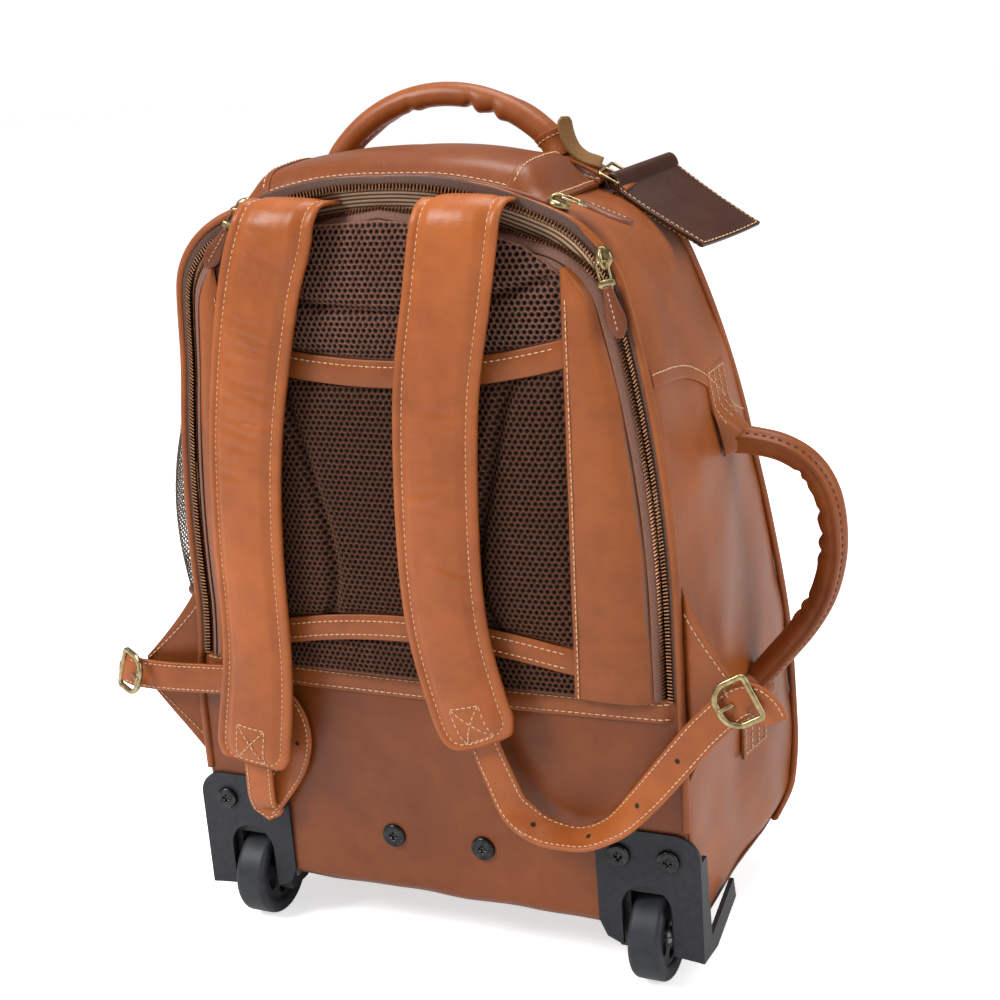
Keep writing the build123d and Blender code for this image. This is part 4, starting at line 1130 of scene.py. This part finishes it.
strap_buckle("r", BUCKLE_R, np.array([0.88, 0, 0.47]), np.array([0.12, -1.0, 0.1]), 11.2, 13.2)
strap_buckle("l", BUCKLE_L, np.array([-0.95, 0, 0.2]), np.array([-0.4, -0.9, 0.1]), 11.2, 13.2)

# ---------------------------------------------------------------- cover over the trolley grip
COVER_END = 104.0   # the cover ends this far out from the middle
COVER_COLS = 121
cover_y = np.array([4.0, 8.0, 14.0, 24.0, 38.0, 52.0, 66.0, 76.0, 80.0])
cover_h = np.array([0.8, 5.2, 9.6, 12.2, 13.4, 13.6, 12.4, 7.5, 0.6])
p = arch(0.0, 0.0, 300.0, 801)
p = p[abs(p[:, 0]) < COVER_END]
p = resample(p, count=COVER_COLS)
p = p[np.argsort(p[:, 0])]
n2 = arch_normals(p[::-1])[::-1]
ys = resample(smooth_path(np.stack([cover_y, cover_h], 1), 8), count=40)
P = np.zeros((len(ys), COVER_COLS, 3))
end_fall = ease(COVER_END - abs(p[:, 0]), 2.0, 24.0)
tall = 1 + 0.20 * np.clip(abs(p[:, 0]) / 80.0, 0, 1) ** 2
for i, (y, h) in enumerate(ys):
    hh = 1.7 + (h - 1.0) * (0.12 + 0.88 * end_fall) * tall
    P[i] = np.stack([p[:, 0] + n2[:, 0] * hh, np.full(COVER_COLS, y), p[:, 1] + n2[:, 1] * hh], 1)
cover_P = wobble(P, 0.03, 1.2, 21.0)
cover = grid("cover", cover_P, COGNAC_LOW, thick=1.8, bevel=0.5, nodes=("top_cover",), outward=(0, 45, 300))
N = surface_frame(cover_P)
if (N[:, :, 2]).mean() < 0:
    N = -N
runs = [(cover_P[2:-2, k] + N[2:-2, k] * 0.15, N[2:-2, k]) for k in (2, 14, -3, -15)]
runs.append((cover_P[1, :] + N[1, :] * 0.2, N[1, :]))
cover_sewn = stitches("cover_stitch", runs)
band_cols = (slice(0, 17), slice(-17, None))
cover_parts = [cover, cover_sewn]
for k, cols in enumerate(band_cols):
    Q = cover_P[:, cols] + N[:, cols] * 0.9
    cover_parts.append(grid(f"cover_band_{k}", Q, COGNAC_LOW, thick=1.2, bevel=0.4, outward=(0, 45, 300)))
runs = [(cover_P[2:-2, k] + N[2:-2, k] * 1.05, N[2:-2, k]) for k in (2, 14, -3, -15)]
cover_parts.append(stitches("cover_band_stitch", runs))
welt_path = np.stack([p[:, 0] + n2[:, 0] * 1.6, np.full(COVER_COLS, 3.4), p[:, 1] + n2[:, 1] * 1.6], 1)
cover_parts.append(grid("cover_welt", tube(welt_path, 1.7, 10, up=(0, 1, 0)), COGNAC_DARK, close_v=True,
    caps=True))
for ob in cover_parts:
    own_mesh(ob)


# ---------------------------------------------------------------- rolled handles
def rolled(name, path, radius, up, lumps, body, nodes, ridge):
    """A rolled leather handle with rounded ends: kinks inside the bend, and a sewn flange that winds
    from ridge[0] to ridge[1]."""
    path = resample(path, step=1.4)
    _, side, nrm = frames(path, up)
    s = run_length(path)
    ang = circle(36)
    R = np.full((len(s), len(ang)), float(radius))
    twist = ridge[0] + (ridge[1] - ridge[0]) * ease(s / s[-1], 0.1, 0.9)
    away = np.angle(np.exp(1j * (ang - twist[:, None])))
    R = R + 2.3 * np.exp(-(away / 0.2) ** 2) - 0.7 * np.exp(-((away - 0.45) / 0.16) ** 2)
    for s0, amp, where in lumps:
        facing = (0.5 + 0.5 * np.cos(ang - where))[None, :] ** 3
        dent = amp * np.exp(-((s - s0) / 2.6) ** 2)[:, None]
        swell = 0.6 * amp * np.exp(-((s - s0 - 6.5) / 3.4) ** 2)[:, None]
        R = R - dent * facing + swell * facing
    end = np.minimum(s, s[-1] - s)
    R = R * np.sqrt(np.clip(1 - np.maximum(1 - end / 6.0, 0) ** 2, 0.01, 1))[:, None]
    grid(name, rings(path, R, side, nrm, ang), COGNAC, close_v=True, caps=True, body=body, nodes=nodes)
    at = twist + 0.42
    out = np.cos(at)[:, None] * side + np.sin(at)[:, None] * nrm
    return (path + out * (radius - 0.4))[8:-8], out[8:-8]


def arc_between(a, b, c, n=80):
    a, b, c = (np.asarray(v, float) for v in (a, b, c))
    ab, ac = b - a, c - a
    nn = np.cross(ab, ac)
    centre = a + (np.cross(nn, ab) * (ac @ ac) + np.cross(ac, nn) * (ab @ ab)) / (2 * nn @ nn)
    r = np.linalg.norm(a - centre)
    e1, nn = (a - centre) / r, unit(nn)
    e2 = np.cross(nn, e1)
    end = math.atan2((c - centre) @ e2, (c - centre) @ e1) % (2 * math.pi)
    q = np.linspace(0, end, n)
    return centre + r * (np.cos(q)[:, None] * e1 + np.sin(q)[:, None] * e2)


TOP_Y = 92.0        # depth at which the top handle stands
top_arc = arc_between((-76, TOP_Y, 509), (0, TOP_Y, 545), (76, TOP_Y, 509))
top_path = smooth_path(np.vstack([[(-80, TOP_Y, 500)], top_arc[::6], [(76, TOP_Y, 509), (80, TOP_Y, 500)]]), 8)
seam = rolled("handle_top", top_path, 7.4, (0, 1, 0), [(118, 2.4, math.pi * 1.1), (134, 1.8, math.pi * 1.15),
    (74, 1.1, math.pi * 1.1)], "top_handle", ("top_handle",), (math.pi * 0.86, math.pi * 0.2))
stitches("handle_top_stitch", [seam], body="top_handle", **ROLL, material=COGNAC_DARK)
side_path = smooth_path([(174, 96, 331), (181, 96, 331), (191, 96, 330.5), (208, 97, 326.5), (223, 98, 317),
    (233, 99, 301), (237, 100, 280), (236, 101.5, 256), (229, 104, 231), (216, 107, 208), (199, 110, 186),
    (186, 112, 170), (177, 112.5, 159)], 12)
kinks = [(52, 1.6, math.pi), (60, 1.2, math.pi), (84, 1.5, math.pi), (100, 1.7, math.pi), (112, 1.2, math.pi),
    (150, 1.5, math.pi), (160, 1.1, math.pi)]
seam = rolled("handle_side", side_path, 8.6, (0, 1, 0), kinks, "side_handle", ("side_handle",),
    (math.pi * 1.62, math.pi * 1.7))
stitches("handle_side_stitch", [seam], body="side_handle", **ROLL, material=COGNAC_DARK)

# sewn tabs that hold the handles


def patch(name, centre, e1, e2, nn, h1, h2, rise, nodes=(), diagonals=0):
    """A sewn leather patch that swells up round the foot of a handle at its +e2 end."""
    P = np.zeros((40, 26, 3))
    for i, b in enumerate(np.linspace(-1, 1, 40)):
        narrow = 1 - 0.30 * ease(b, -0.2, 0.9)
        swell = ease(b, -0.25, 0.55) * math.sqrt(max(1 - (max(b - 0.5, 0) / 0.5) ** 2, 0))
        for j, a in enumerate(np.linspace(-1, 1, 26)):
            P[i, j] = centre + e1 * a * h1 * narrow + e2 * b * h2 + nn * (1.6 + rise * swell * (1 - a ** 4))
    grid(name, P, COGNAC, thick=2.2, bevel=0.6, nodes=nodes, outward=centre - nn * 40)
    lines = [(P[1:26, 2] + nn * 0.2, nn), (P[1:26, -3] + nn * 0.2, nn), (P[2, 2:-2] + nn * 0.2, nn)]
    for k in range(diagonals):
        lines.append((P[2:24, 9 + 7 * k] + nn * 0.2, nn))
    return lines


handle_runs = []
for sign in (1, -1):
    slope = math.radians(14.5) * sign
    e2 = np.array([-math.cos(slope) * sign, 0, math.sin(abs(slope))])
    e1 = TO_FRONT
    nn = unit(np.array([math.sin(abs(slope)) * sign, 0, math.cos(slope)]))
    handle_runs += patch(f"tab_top_{'r' if sign > 0 else 'l'}", np.array([sign * 88.0, TOP_Y, 494.5]), e1, e2,
        nn, 13.0, 18.0, 8.0, nodes=("handle_tabs",) if sign > 0 else ())
for k, (y, z, s2) in enumerate(((96.0, 350.0, -1), (112.0, 144.0, 1))):
    bulge = float(side_bulge(z, y / float(front_y(z))))
    c = np.array([half_width(z) + bulge + 0.4, y, z])
    lean = unit(np.array([-0.16 if s2 < 0 else 0.0, 0, 1.0])) * s2
    handle_runs += patch(f"tab_side_{k}", c, TO_FRONT, lean, unit(np.array([1.0, 0, 0.16 if s2 < 0 else 0.0])),
        17.0, 28.0, 12.5, diagonals=2)
stitches("handle_tab_stitch", handle_runs, pitch=3.6)

# ---------------------------------------------------------------- luggage tag
slope = math.radians(30.0)
tag_o = np.array([87.0, TOP_Y, 508.0])
tx = np.array([math.cos(slope), 0, -math.sin(slope)])
tz = np.array([math.sin(slope), 0, math.cos(slope)])
ty = TO_FRONT


def tag_point(x, y, z):
    return tag_o + tx * x + ty * y + tz * z


def flap_point(x, y, z):
    """The flap is turned a little and leans towards the back of the case."""
    return tag_point(x + 0.28 * y, y * 0.95 + 13.0, z + 0.30 * y)


P = np.zeros((60, 30, 3))
for i, a in enumerate(np.linspace(0, 1, 60)):
    for j, b in enumerate(np.linspace(-1, 1, 30)):
        x = 38 + 67 * a
        curl = 3.0 * (1 - a) ** 3 + 1.4 * a * a * b * b
        P[i, j] = flap_point(x, b * 27.0, 2.4 - 3.5 * a + curl + 0.8 * math.sin(3.0 * a + 1.1 * b))
lean = unit(flap_point(80, 0, 10) - flap_point(80, 0, 0) - 0.30 * ty)
grid("tag_flap", P, TAG_DARK, "dark_leather", thick=2.8, bevel=0.6, body="luggage_tag", nodes=("luggage_tag",),
    outward=tag_point(83, 0, -40))
edge = [(P[1:-1, k] + lean * 0.25, lean) for k in (1, -2)] + [(P[-2, 1:-1] + lean * 0.25, lean)]
under = [(P[1:-1, k] - lean * 3.1, -lean) for k in (1, -2)]
stitches("tag_stitch", edge + under, body="luggage_tag", **FINE)
ang = np.linspace(math.pi * 1.45, -math.pi * 0.35, 26)
P = np.array([[flap_point(39.0 - 5.6 * math.cos(a - 0.4), b * 26.6, 4.6 + 5.2 * math.sin(a))
    for b in np.linspace(-1, 1, 24)] for a in ang])
grid("tag_roll", P, TAG_DARK, "dark_leather", thick=1.8, bevel=0.4, body="luggage_tag",
    outward=flap_point(41, 0, 5))
strap_pts = np.array([tag_point(x, -4, z) for x, z in ((-9, -6.0), (-2, -3.6), (8, -2.4), (18, -2.0),
    (28, -1.8), (37, -1.6), (41, -1.8))])
_, tag_data = flat_strap("tag_strap_leather", smooth_path(strap_pts, 8), unit(tz - 0.25 * ty), 12.5, 2.2,
    COGNAC, body="luggage_tag", nodes=("tag_strap",))
punched("tag_holes", tag_data, [9.0, 18.0], body="luggage_tag", radius=1.2, top=1.3)
buckle_at = tag_point(28, -4, 0.8)
tag_up = unit(tz - 0.25 * ty)
tag_side = np.cross(tag_up, tx)
loop = rounded_loop(buckle_at, tx, tag_side, 6.4, 9.0, 1.4)
sweep_ring("tag_buckle_frame", loop, tag_up, round_profile(1.9, 1.9, 0.4), BRASS, "brass", body="luggage_tag",
    nodes=("tag_buckle",))
rod("tag_buckle_prong", buckle_at - tx * 7, buckle_at + tx * 6.6 + tag_up * 0.9, 0.9, BRASS, "brass",
    body="luggage_tag", up=tag_up)
tongue = smooth_path([(104, 88, 500.5), (101, 87, 502), (94, 86.5, 504.5), (88, 86, 509.5), (84, 86, 517),
    (82.5, 86, 524), (83, 86, 529)], 10)
flat_strap("tag_tongue", tongue, unit((0.75, -0.45, 0.45)), 11.0, 2.4, SUEDE, body="top_handle",
    taper=[(0, 0.75), (0.8, 1.0), (0.93, 0.9), (1, 0.45)])

# the tag's strap wraps the foot of the top handle like a cuff
foot = np.array([76.0, TOP_Y, 509.0])
axis = unit((0.55, 0, -0.83))
cuff_side = np.cross(axis, ty)
cuff_ang = circle(40)
P = np.array([[foot + axis * d + (9.7 + 0.5 * math.sin(d * 0.35)) * (math.cos(a) * cuff_side
    + math.sin(a) * ty) + axis * 2.2 * math.sin(a + 0.6) for a in cuff_ang]
    for d in np.linspace(-11.0, 6.0, 14)])
grid("tag_cuff", P, COGNAC, close_v=True, thick=2.0, bevel=0.4, body="top_handle", outward=foot)
ring = P[3]
stitches("tag_cuff_stitch", [(ring + unit(ring - foot) * 0.2, unit(ring - foot))], body="top_handle", **FINE)


# ---------------------------------------------------------------- zip sliders and pulls
def zip_frame(origin, down, facing):
    z = unit(np.array(facing, float))
    y = -unit(np.array(down, float))
    return np.array(origin, float), unit(np.cross(y, z)), y, z


ZIPS = {"back_r": ((137.0, -3.0, 459.0), (0.22, 0, -1), (0, -1, 0)),
        "back_l": ((-91.0, -3.0, 490.0), (-0.62, 0, -0.78), (0, -1, 0)),
        "cover": ((108.5, 4.2, 487.0), (0.93, 0, -0.37), (0.37, 0, 0.93)),
        "front": ((-60.0, 109.6, 484.0), (0, 0.12, -0.99), (0, 0.99, 0.12))}
PULL_LIFT = 5.4     # the pulls lie this far above the zip
for name, spec in ZIPS.items():
    o, x, y, z = zip_frame(*spec)
    rides = "front_panel" if name == "front" else name + "_slider"
    pulls = name + "_pull"
    # slider body: an oval shield with a waist, domed, over a lower plate
    ang = circle(30)
    shield = []
    for k, (grow, h) in enumerate(((0.9, -0.6), (1.0, 0.0), (1.0, 1.5), (0.9, 2.6), (0.6, 3.2), (0.2, 3.5))):
        wx = 4.6 * (1 + 0.16 * np.cos(2 * ang)) * grow
        shield.append(np.array([o + x * (wx[i] * math.cos(a)) + y * (7.0 * grow * math.sin(a) + 0.3) + z * h
            for i, a in enumerate(ang)]))
    grid(f"slider_{name}", np.array(shield), BRASS, "brass", close_v=True, caps=True, body=rides,
        nodes=(name + "_slider",))
    bridge = smooth_path([o + y * 5.2 + z * 2.6, o + y * 3.6 + z * 5.2, o - y * 0.5 + z * 6.2,
        o - y * 4.4 + z * 5.0, o - y * 5.6 + z * 2.6], 6)
    grid(f"slider_bridge_{name}", tube(bridge, 1.25, 10, up=x), BRASS, "brass", close_v=True, caps=True,
        body=rides)
    # pull: a bail ring, a flat metal neck and a leather drop
    c = o + y * -6.5 + z * (PULL_LIFT + 0.8)
    sweep_ring(f"pull_bail_{name}", rounded_loop(c, x, y, 3.4, 5.4, 2.2, 40), z, round_profile(1.3, 1.3, 0.45),
        BRASS, "brass", body=pulls)
    P = np.array([[o + x * a * w + y * d + z * (PULL_LIFT + 1.0 + b) for a, b in ((-1, -.6), (1, -.6), (1, .6),
        (-1, .6))] for d, w in ((-11.0, 2.6), (-12.2, 5.0), (-14.6, 5.2), (-15.4, 3.4), (-17.5, 3.2))])
    ob = grid(f"pull_neck_{name}", P, BRASS, "brass", close_v=True, caps=True, body=pulls)
    mod = ob.modifiers.new("edges", "BEVEL")
    mod.width, mod.segments = 0.0004, 2
    m, half = 34, 6.4
    P, mid = [], []
    for tt in np.linspace(0, 1, m):
        d = -15.0 - 29.5 * tt
        w = half * math.sqrt(max(1 - (2 * max(tt - 0.55, 0) / 0.9) ** 2, 0.0) + 1e-4) * ramp(tt,
            [(0, 0.46), (0.25, 0.62), (0.62, 1.0), (1, 1)])
        ring = [(-1, 0), (-.93, .55), (-.6, .9), (0, 1.0), (.6, .9), (.93, .55), (1, 0), (.93, -.55),
            (.6, -.9), (0, -1), (-.6, -.9), (-.93, -.55)]
        P.append([o + x * a * w + y * d + z * (PULL_LIFT + 1.2 + 1.5 * b) for a, b in ring])
        mid.append(o + y * d + z * (PULL_LIFT + 2.75))
    grid(f"pull_{name}", np.array(P), COGNAC_DARK, close_v=True, caps=True, body=pulls, nodes=(name + "_pull",))
    stitches(f"pull_stitch_{name}", [(np.array(mid)[3:-5], z)], body=pulls, pitch=2.9, length=2.1, radius=0.33)

# ---------------------------------------------------------------- bottle pocket: net with leather binding
net_co, net_f, start = [], [], 0
POCKET_LOW, POCKET_HIGH = 228.0, 344.0


def pocket_point(u, z):
    """u runs 0..1 from the back edge round the outside to the front edge."""
    t = (z - POCKET_LOW) / (POCKET_HIGH - POCKET_LOW)
    out = (6.0 + 15.0 * math.sin(math.pi * min(0.2 + 0.72 * t, 1)) ** 0.7) * (1 - abs(2 * u - 1) ** 10) * (1.15
        - 0.3 * u)
    y = 20.5 + 127.0 * u
    wall = half_width(z) + float(side_bulge(z, y / float(front_y(z))))
    return np.array([-(wall + 0.8 + out), y, z])


for k in range(-22, 40):
    for sg in (1, -1):
        pts = []
        for z in np.arange(POCKET_LOW, POCKET_HIGH, 3.0):
            u = k / 38.0 + sg * (z - POCKET_LOW) / 127.0 * 0.75 + (0.0 if sg > 0 else 0.5)
            if 0 <= u <= 1:
                pts.append(pocket_point(u, z))
        if len(pts) > 2:
            T = tube(pts, 0.42, 4, up=(0.3, 0.4, 1.0))
            net_co.append(T.reshape(-1, 3))
            net_f += grid_faces(len(pts), 4, False, True, start)
            start += len(pts) * 4
make("pocket_net", np.vstack(net_co), net_f, NET, "net", nodes=("bottle_pocket",))
P = np.array([[pocket_point(u, z) + [-0.8, 0, 0] for u in np.linspace(0, 1, 60)]
    for z in np.linspace(340.0, 352.0, 8)])
grid("pocket_top_binding", P, COGNAC_DARK, thick=2.4, bevel=0.5, nodes=("pocket_binding",))
stitches("pocket_stitch", [(P[2] + [-0.2, 0, 0], np.array([-1.0, 0, 0]))])
for k, (u, nm) in enumerate(((0.0, "back"), (1.0, "front"))):
    path = np.array([pocket_point(u, z) + [-0.4, 0, 0] for z in np.linspace(226.0, 351.0, 40)])
    grid("pocket_side_" + nm, tube(path, 2.0, 10, up=(1, 0, 0)), COGNAC_DARK, close_v=True, caps=True)
path = np.array([pocket_point(u, 227.5) + [-0.2, 0, 0] for u in np.linspace(0, 1, 50)])
grid("pocket_low_binding", tube(path, 2.2, 10), COGNAC_DARK, close_v=True, caps=True)

# ---------------------------------------------------------------- front panel and its pocket
FRONT_ROWS = 120
rows = np.linspace(72.6, 503.2, FRONT_ROWS)
P = np.zeros((FRONT_ROWS, 70, 3))
for i, z in enumerate(rows):
    raised = ease(z, 72, 112)
    w = max(half_width(z) - 0.6 - 3.0 * (1 - raised), 3.0)
    for j, a in enumerate(np.linspace(-1, 1, 70)):
        P[i, j] = (a * w, float(front_y(z)) + 1.0 + 3.2 * raised + 3.0 * (1 - a ** 4)
            * math.sin(math.pi * (i / (FRONT_ROWS - 1))) ** 0.6, z)
grid("front_leather", wobble(P, 0.02, 1.6, 31.0), COGNAC, body="front_panel", nodes=("front_panel",),
    thick=3.4, bevel=0.6, outward=(0, 60, 260))
zip_path = arch(6.0, 6.0, 100.0, 401)
zp = np.stack([zip_path[:, 0], front_y(zip_path[:, 1]) + 5.4, zip_path[:, 1]], 1)
out3 = np.stack([arch_normals(zip_path)[:, 0], 0 * zip_path[:, 0], arch_normals(zip_path)[:, 1]], 1)
T = np.stack([zp - out3 * 4.0, zp - out3 * 2 + [0, 0.6, 0], zp + [0, 0.9, 0], zp + out3 * 2 + [0, 0.6, 0],
    zp + out3 * 4.0], 1)
grid("front_zip_tape", T, TAPE, "zip", body="front_panel", thick=0.8, outward=(0, 60, 260))
teeth("front_zip_teeth", [(zp + out3 * 0.7 + [0, 1.0, 0], out3, TO_FRONT, 0.0), (zp - out3 * 0.7 + [0, 1.0, 0],
    out3, TO_FRONT, 0.5)], TEETH, "zip", body="front_panel")

HALF_X, LOW_Z, TALL = 147.0, 99.0, 234.0      # the front pocket: half width, foot and height
P = np.zeros((84, 84, 3))
for i, b in enumerate(np.linspace(-1, 1, 84)):
    for j, a in enumerate(np.linspace(-1, 1, 84)):
        # square to rounded square
        sx = a * math.sqrt(1 - 0.12 * b * b * abs(a) ** 6)
        sz = b * math.sqrt(1 - 0.12 * a * a * abs(b) ** 6)
        rim = max(abs(a), abs(b))
        h = 16.5 * (1 - rim ** 7) ** 0.5 + 3.2 * (1 - a * a) * (1 - b * b)
        z = LOW_Z + TALL / 2 * (1 + sz)
        P[i, j] = (sx * HALF_X, float(front_y(z)) + 4.6 + h, z)
grid("front_pocket_leather", wobble(P, 0.024, 2.2, 41.0), COGNAC, body="front_panel", nodes=("front_pocket",),
    thick=2.2, outward=(0, 60, 220))
pocket_lines = [q + [0, 0.5, 0] for q in (P[6:-6, 4], P[6:-6, -5], P[4, 6:-6])]
stitches("front_pocket_stitch", [(q, TO_FRONT) for q in pocket_lines], body="front_panel")
z = 308.0
row_i = int(np.argmin(abs(P[:, 42, 2] - z)))
pz = resample(P[row_i, 8:-8] + [0, 0.4, 0], count=220)
T = np.stack([pz + [0, -0.3, -4.5], pz + [0, 0.7, -2], pz + [0, 1.0, 0], pz + [0, 0.7, 2.0],
    pz + [0, -0.6, 4.5]], 1)
grid("pocket_zip_tape", T, TAPE, "zip", body="front_panel", thick=0.8, outward=(0, 60, 260))
teeth("pocket_zip_teeth", [(pz + [0, 0.9, 0.7], np.array([0, 0, 1.0]), TO_FRONT, 0.0),
    (pz + [0, 0.9, -0.7], np.array([0, 0, 1.0]), TO_FRONT, 0.5)], TEETH, "zip", body="front_panel")
stitches("pocket_zip_stitch", [(pz + [0, 0.2, -6.4], TO_FRONT), (pz + [0, -0.2, 6.6], TO_FRONT)],
    body="front_panel")

# ---------------------------------------------------------------- CAD pieces that stay: their finishes
FINISH = {"wheel_bracket_l": POWDER, "wheel_bracket_r": POWDER, "wheel_housings": PLASTIC,
          "front_feet": PLASTIC,
          "wheel_axles": STEEL, "bearings_l": STEEL, "bearings_r": STEEL, "bracket_screws": BLACK_STEEL,
          "trolley_bolts": BLACK_STEEL, "tyre_l": RUBBER, "tyre_r": RUBBER, "hub_l": PLASTIC, "hub_r": PLASTIC,
          "trolley_base": PLASTIC, "trolley_grip": PLASTIC, "release_button": PLASTIC,
          "trolley_outer_tubes": ALUMINIUM,
          "trolley_mid_tubes": ALUMINIUM, "trolley_inner_tubes": ALUMINIUM, "trolley_board": BOARD,
          "inner_divider": LINING}
for name, material in FINISH.items():
    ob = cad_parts[name]
    ob.data.materials.clear()
    ob.data.materials.append(material)

# ---------------------------------------------------------------- floor, lights, camera
fm, nt, s = new_material("floor_white")
fac = object_noise(nt, 60.0, 2.0)
nt.links.new(two_tone(nt, fac, (0.93, 0.93, 0.932), (0.945, 0.945, 0.945)), s.inputs["Base Color"])
s.inputs["Specular IOR Level"].default_value = 0.1
nt.links.new(two_tone(nt, fac, (0.93, 0.93, 0.932), (0.945, 0.945, 0.945)), s.inputs["Emission Color"])
glow = node(nt, "ShaderNodeMath", operation="MULTIPLY")
glow.inputs[1].default_value = 0.66
nt.links.new(node(nt, "ShaderNodeLightPath").outputs["Is Camera Ray"], glow.inputs[0])
nt.links.new(glow.outputs[0], s.inputs["Emission Strength"])
s.inputs["Roughness"].default_value = 0.6
me = bpy.data.meshes.new("floor")
FLOOR = 9.0         # half the width of the floor, in metres
me.from_pydata([(x * FLOOR, y * FLOOR, 0) for x, y in ((-1, -1), (1, -1), (1, 1), (-1, 1))], [], [(0, 1, 2, 3)])
me.materials.append(fm)
floor = bpy.data.objects.new("floor", me)
bpy.context.scene.collection.objects.link(floor)

world = bpy.data.worlds.new("studio")
bpy.context.scene.world = world
world.use_nodes = True
wn = world.node_tree
sky = wn.nodes["Background"]
sky.inputs["Color"].default_value = (1, 1, 1, 1)
seen = node(wn, "ShaderNodeLightPath").outputs["Is Camera Ray"]
level = node(wn, "ShaderNodeMapRange")
level.inputs["To Min"].default_value = 0.40
level.inputs["To Max"].default_value = 1.05
wn.links.new(seen, level.inputs["Value"])
wn.links.new(level.outputs["Result"], sky.inputs["Strength"])


def softbox(name, place, target, size_x, size_y, power):
    data = bpy.data.lights.new(name, "AREA")
    data.shape = "RECTANGLE"
    data.size, data.size_y = size_x, size_y
    data.energy = power
    ob = bpy.data.objects.new(name, data)
    bpy.context.scene.collection.objects.link(ob)
    ob.location = place
    ob.rotation_euler = (Vector(target) - Vector(place)).to_track_quat("-Z", "Y").to_euler()


softbox("key", (-1.3, -1.5, 1.9), (0, 0, 0.28), 0.9, 0.9, 62)
softbox("side", (2.1, -0.4, 1.1), (0, 0, 0.3), 0.8, 1.5, 20)
softbox("top", (0.1, 0.3, 2.3), (0, 0, 0.3), 1.4, 1.2, 38)

cam = bpy.data.cameras.new("camera")
cam.sensor_width = 36.0
cam.lens = 60.94476
cam.clip_end = 50
eye = V(468.09, -871.81, 603.74)
yaw, pitch, roll = 0.436320775, 0.291874631, -0.0744876869
fwd = Vector((-math.sin(yaw) * math.cos(pitch), math.cos(yaw) * math.cos(pitch), -math.sin(pitch)))
right = Vector((math.cos(yaw), math.sin(yaw), 0))
up = right.cross(fwd)
right, up = math.cos(roll) * right + math.sin(roll) * up, -math.sin(roll) * right + math.cos(roll) * up
camera = bpy.data.objects.new("camera", cam)
bpy.context.scene.collection.objects.link(camera)
camera.matrix_world = Matrix(((right.x, up.x, -fwd.x, eye.x), (right.y, up.y, -fwd.y, eye.y),
    (right.z, up.z, -fwd.z, eye.z), (0, 0, 0, 1)))
bpy.context.scene.camera = camera
bpy.context.scene.view_settings.view_transform = "Standard"
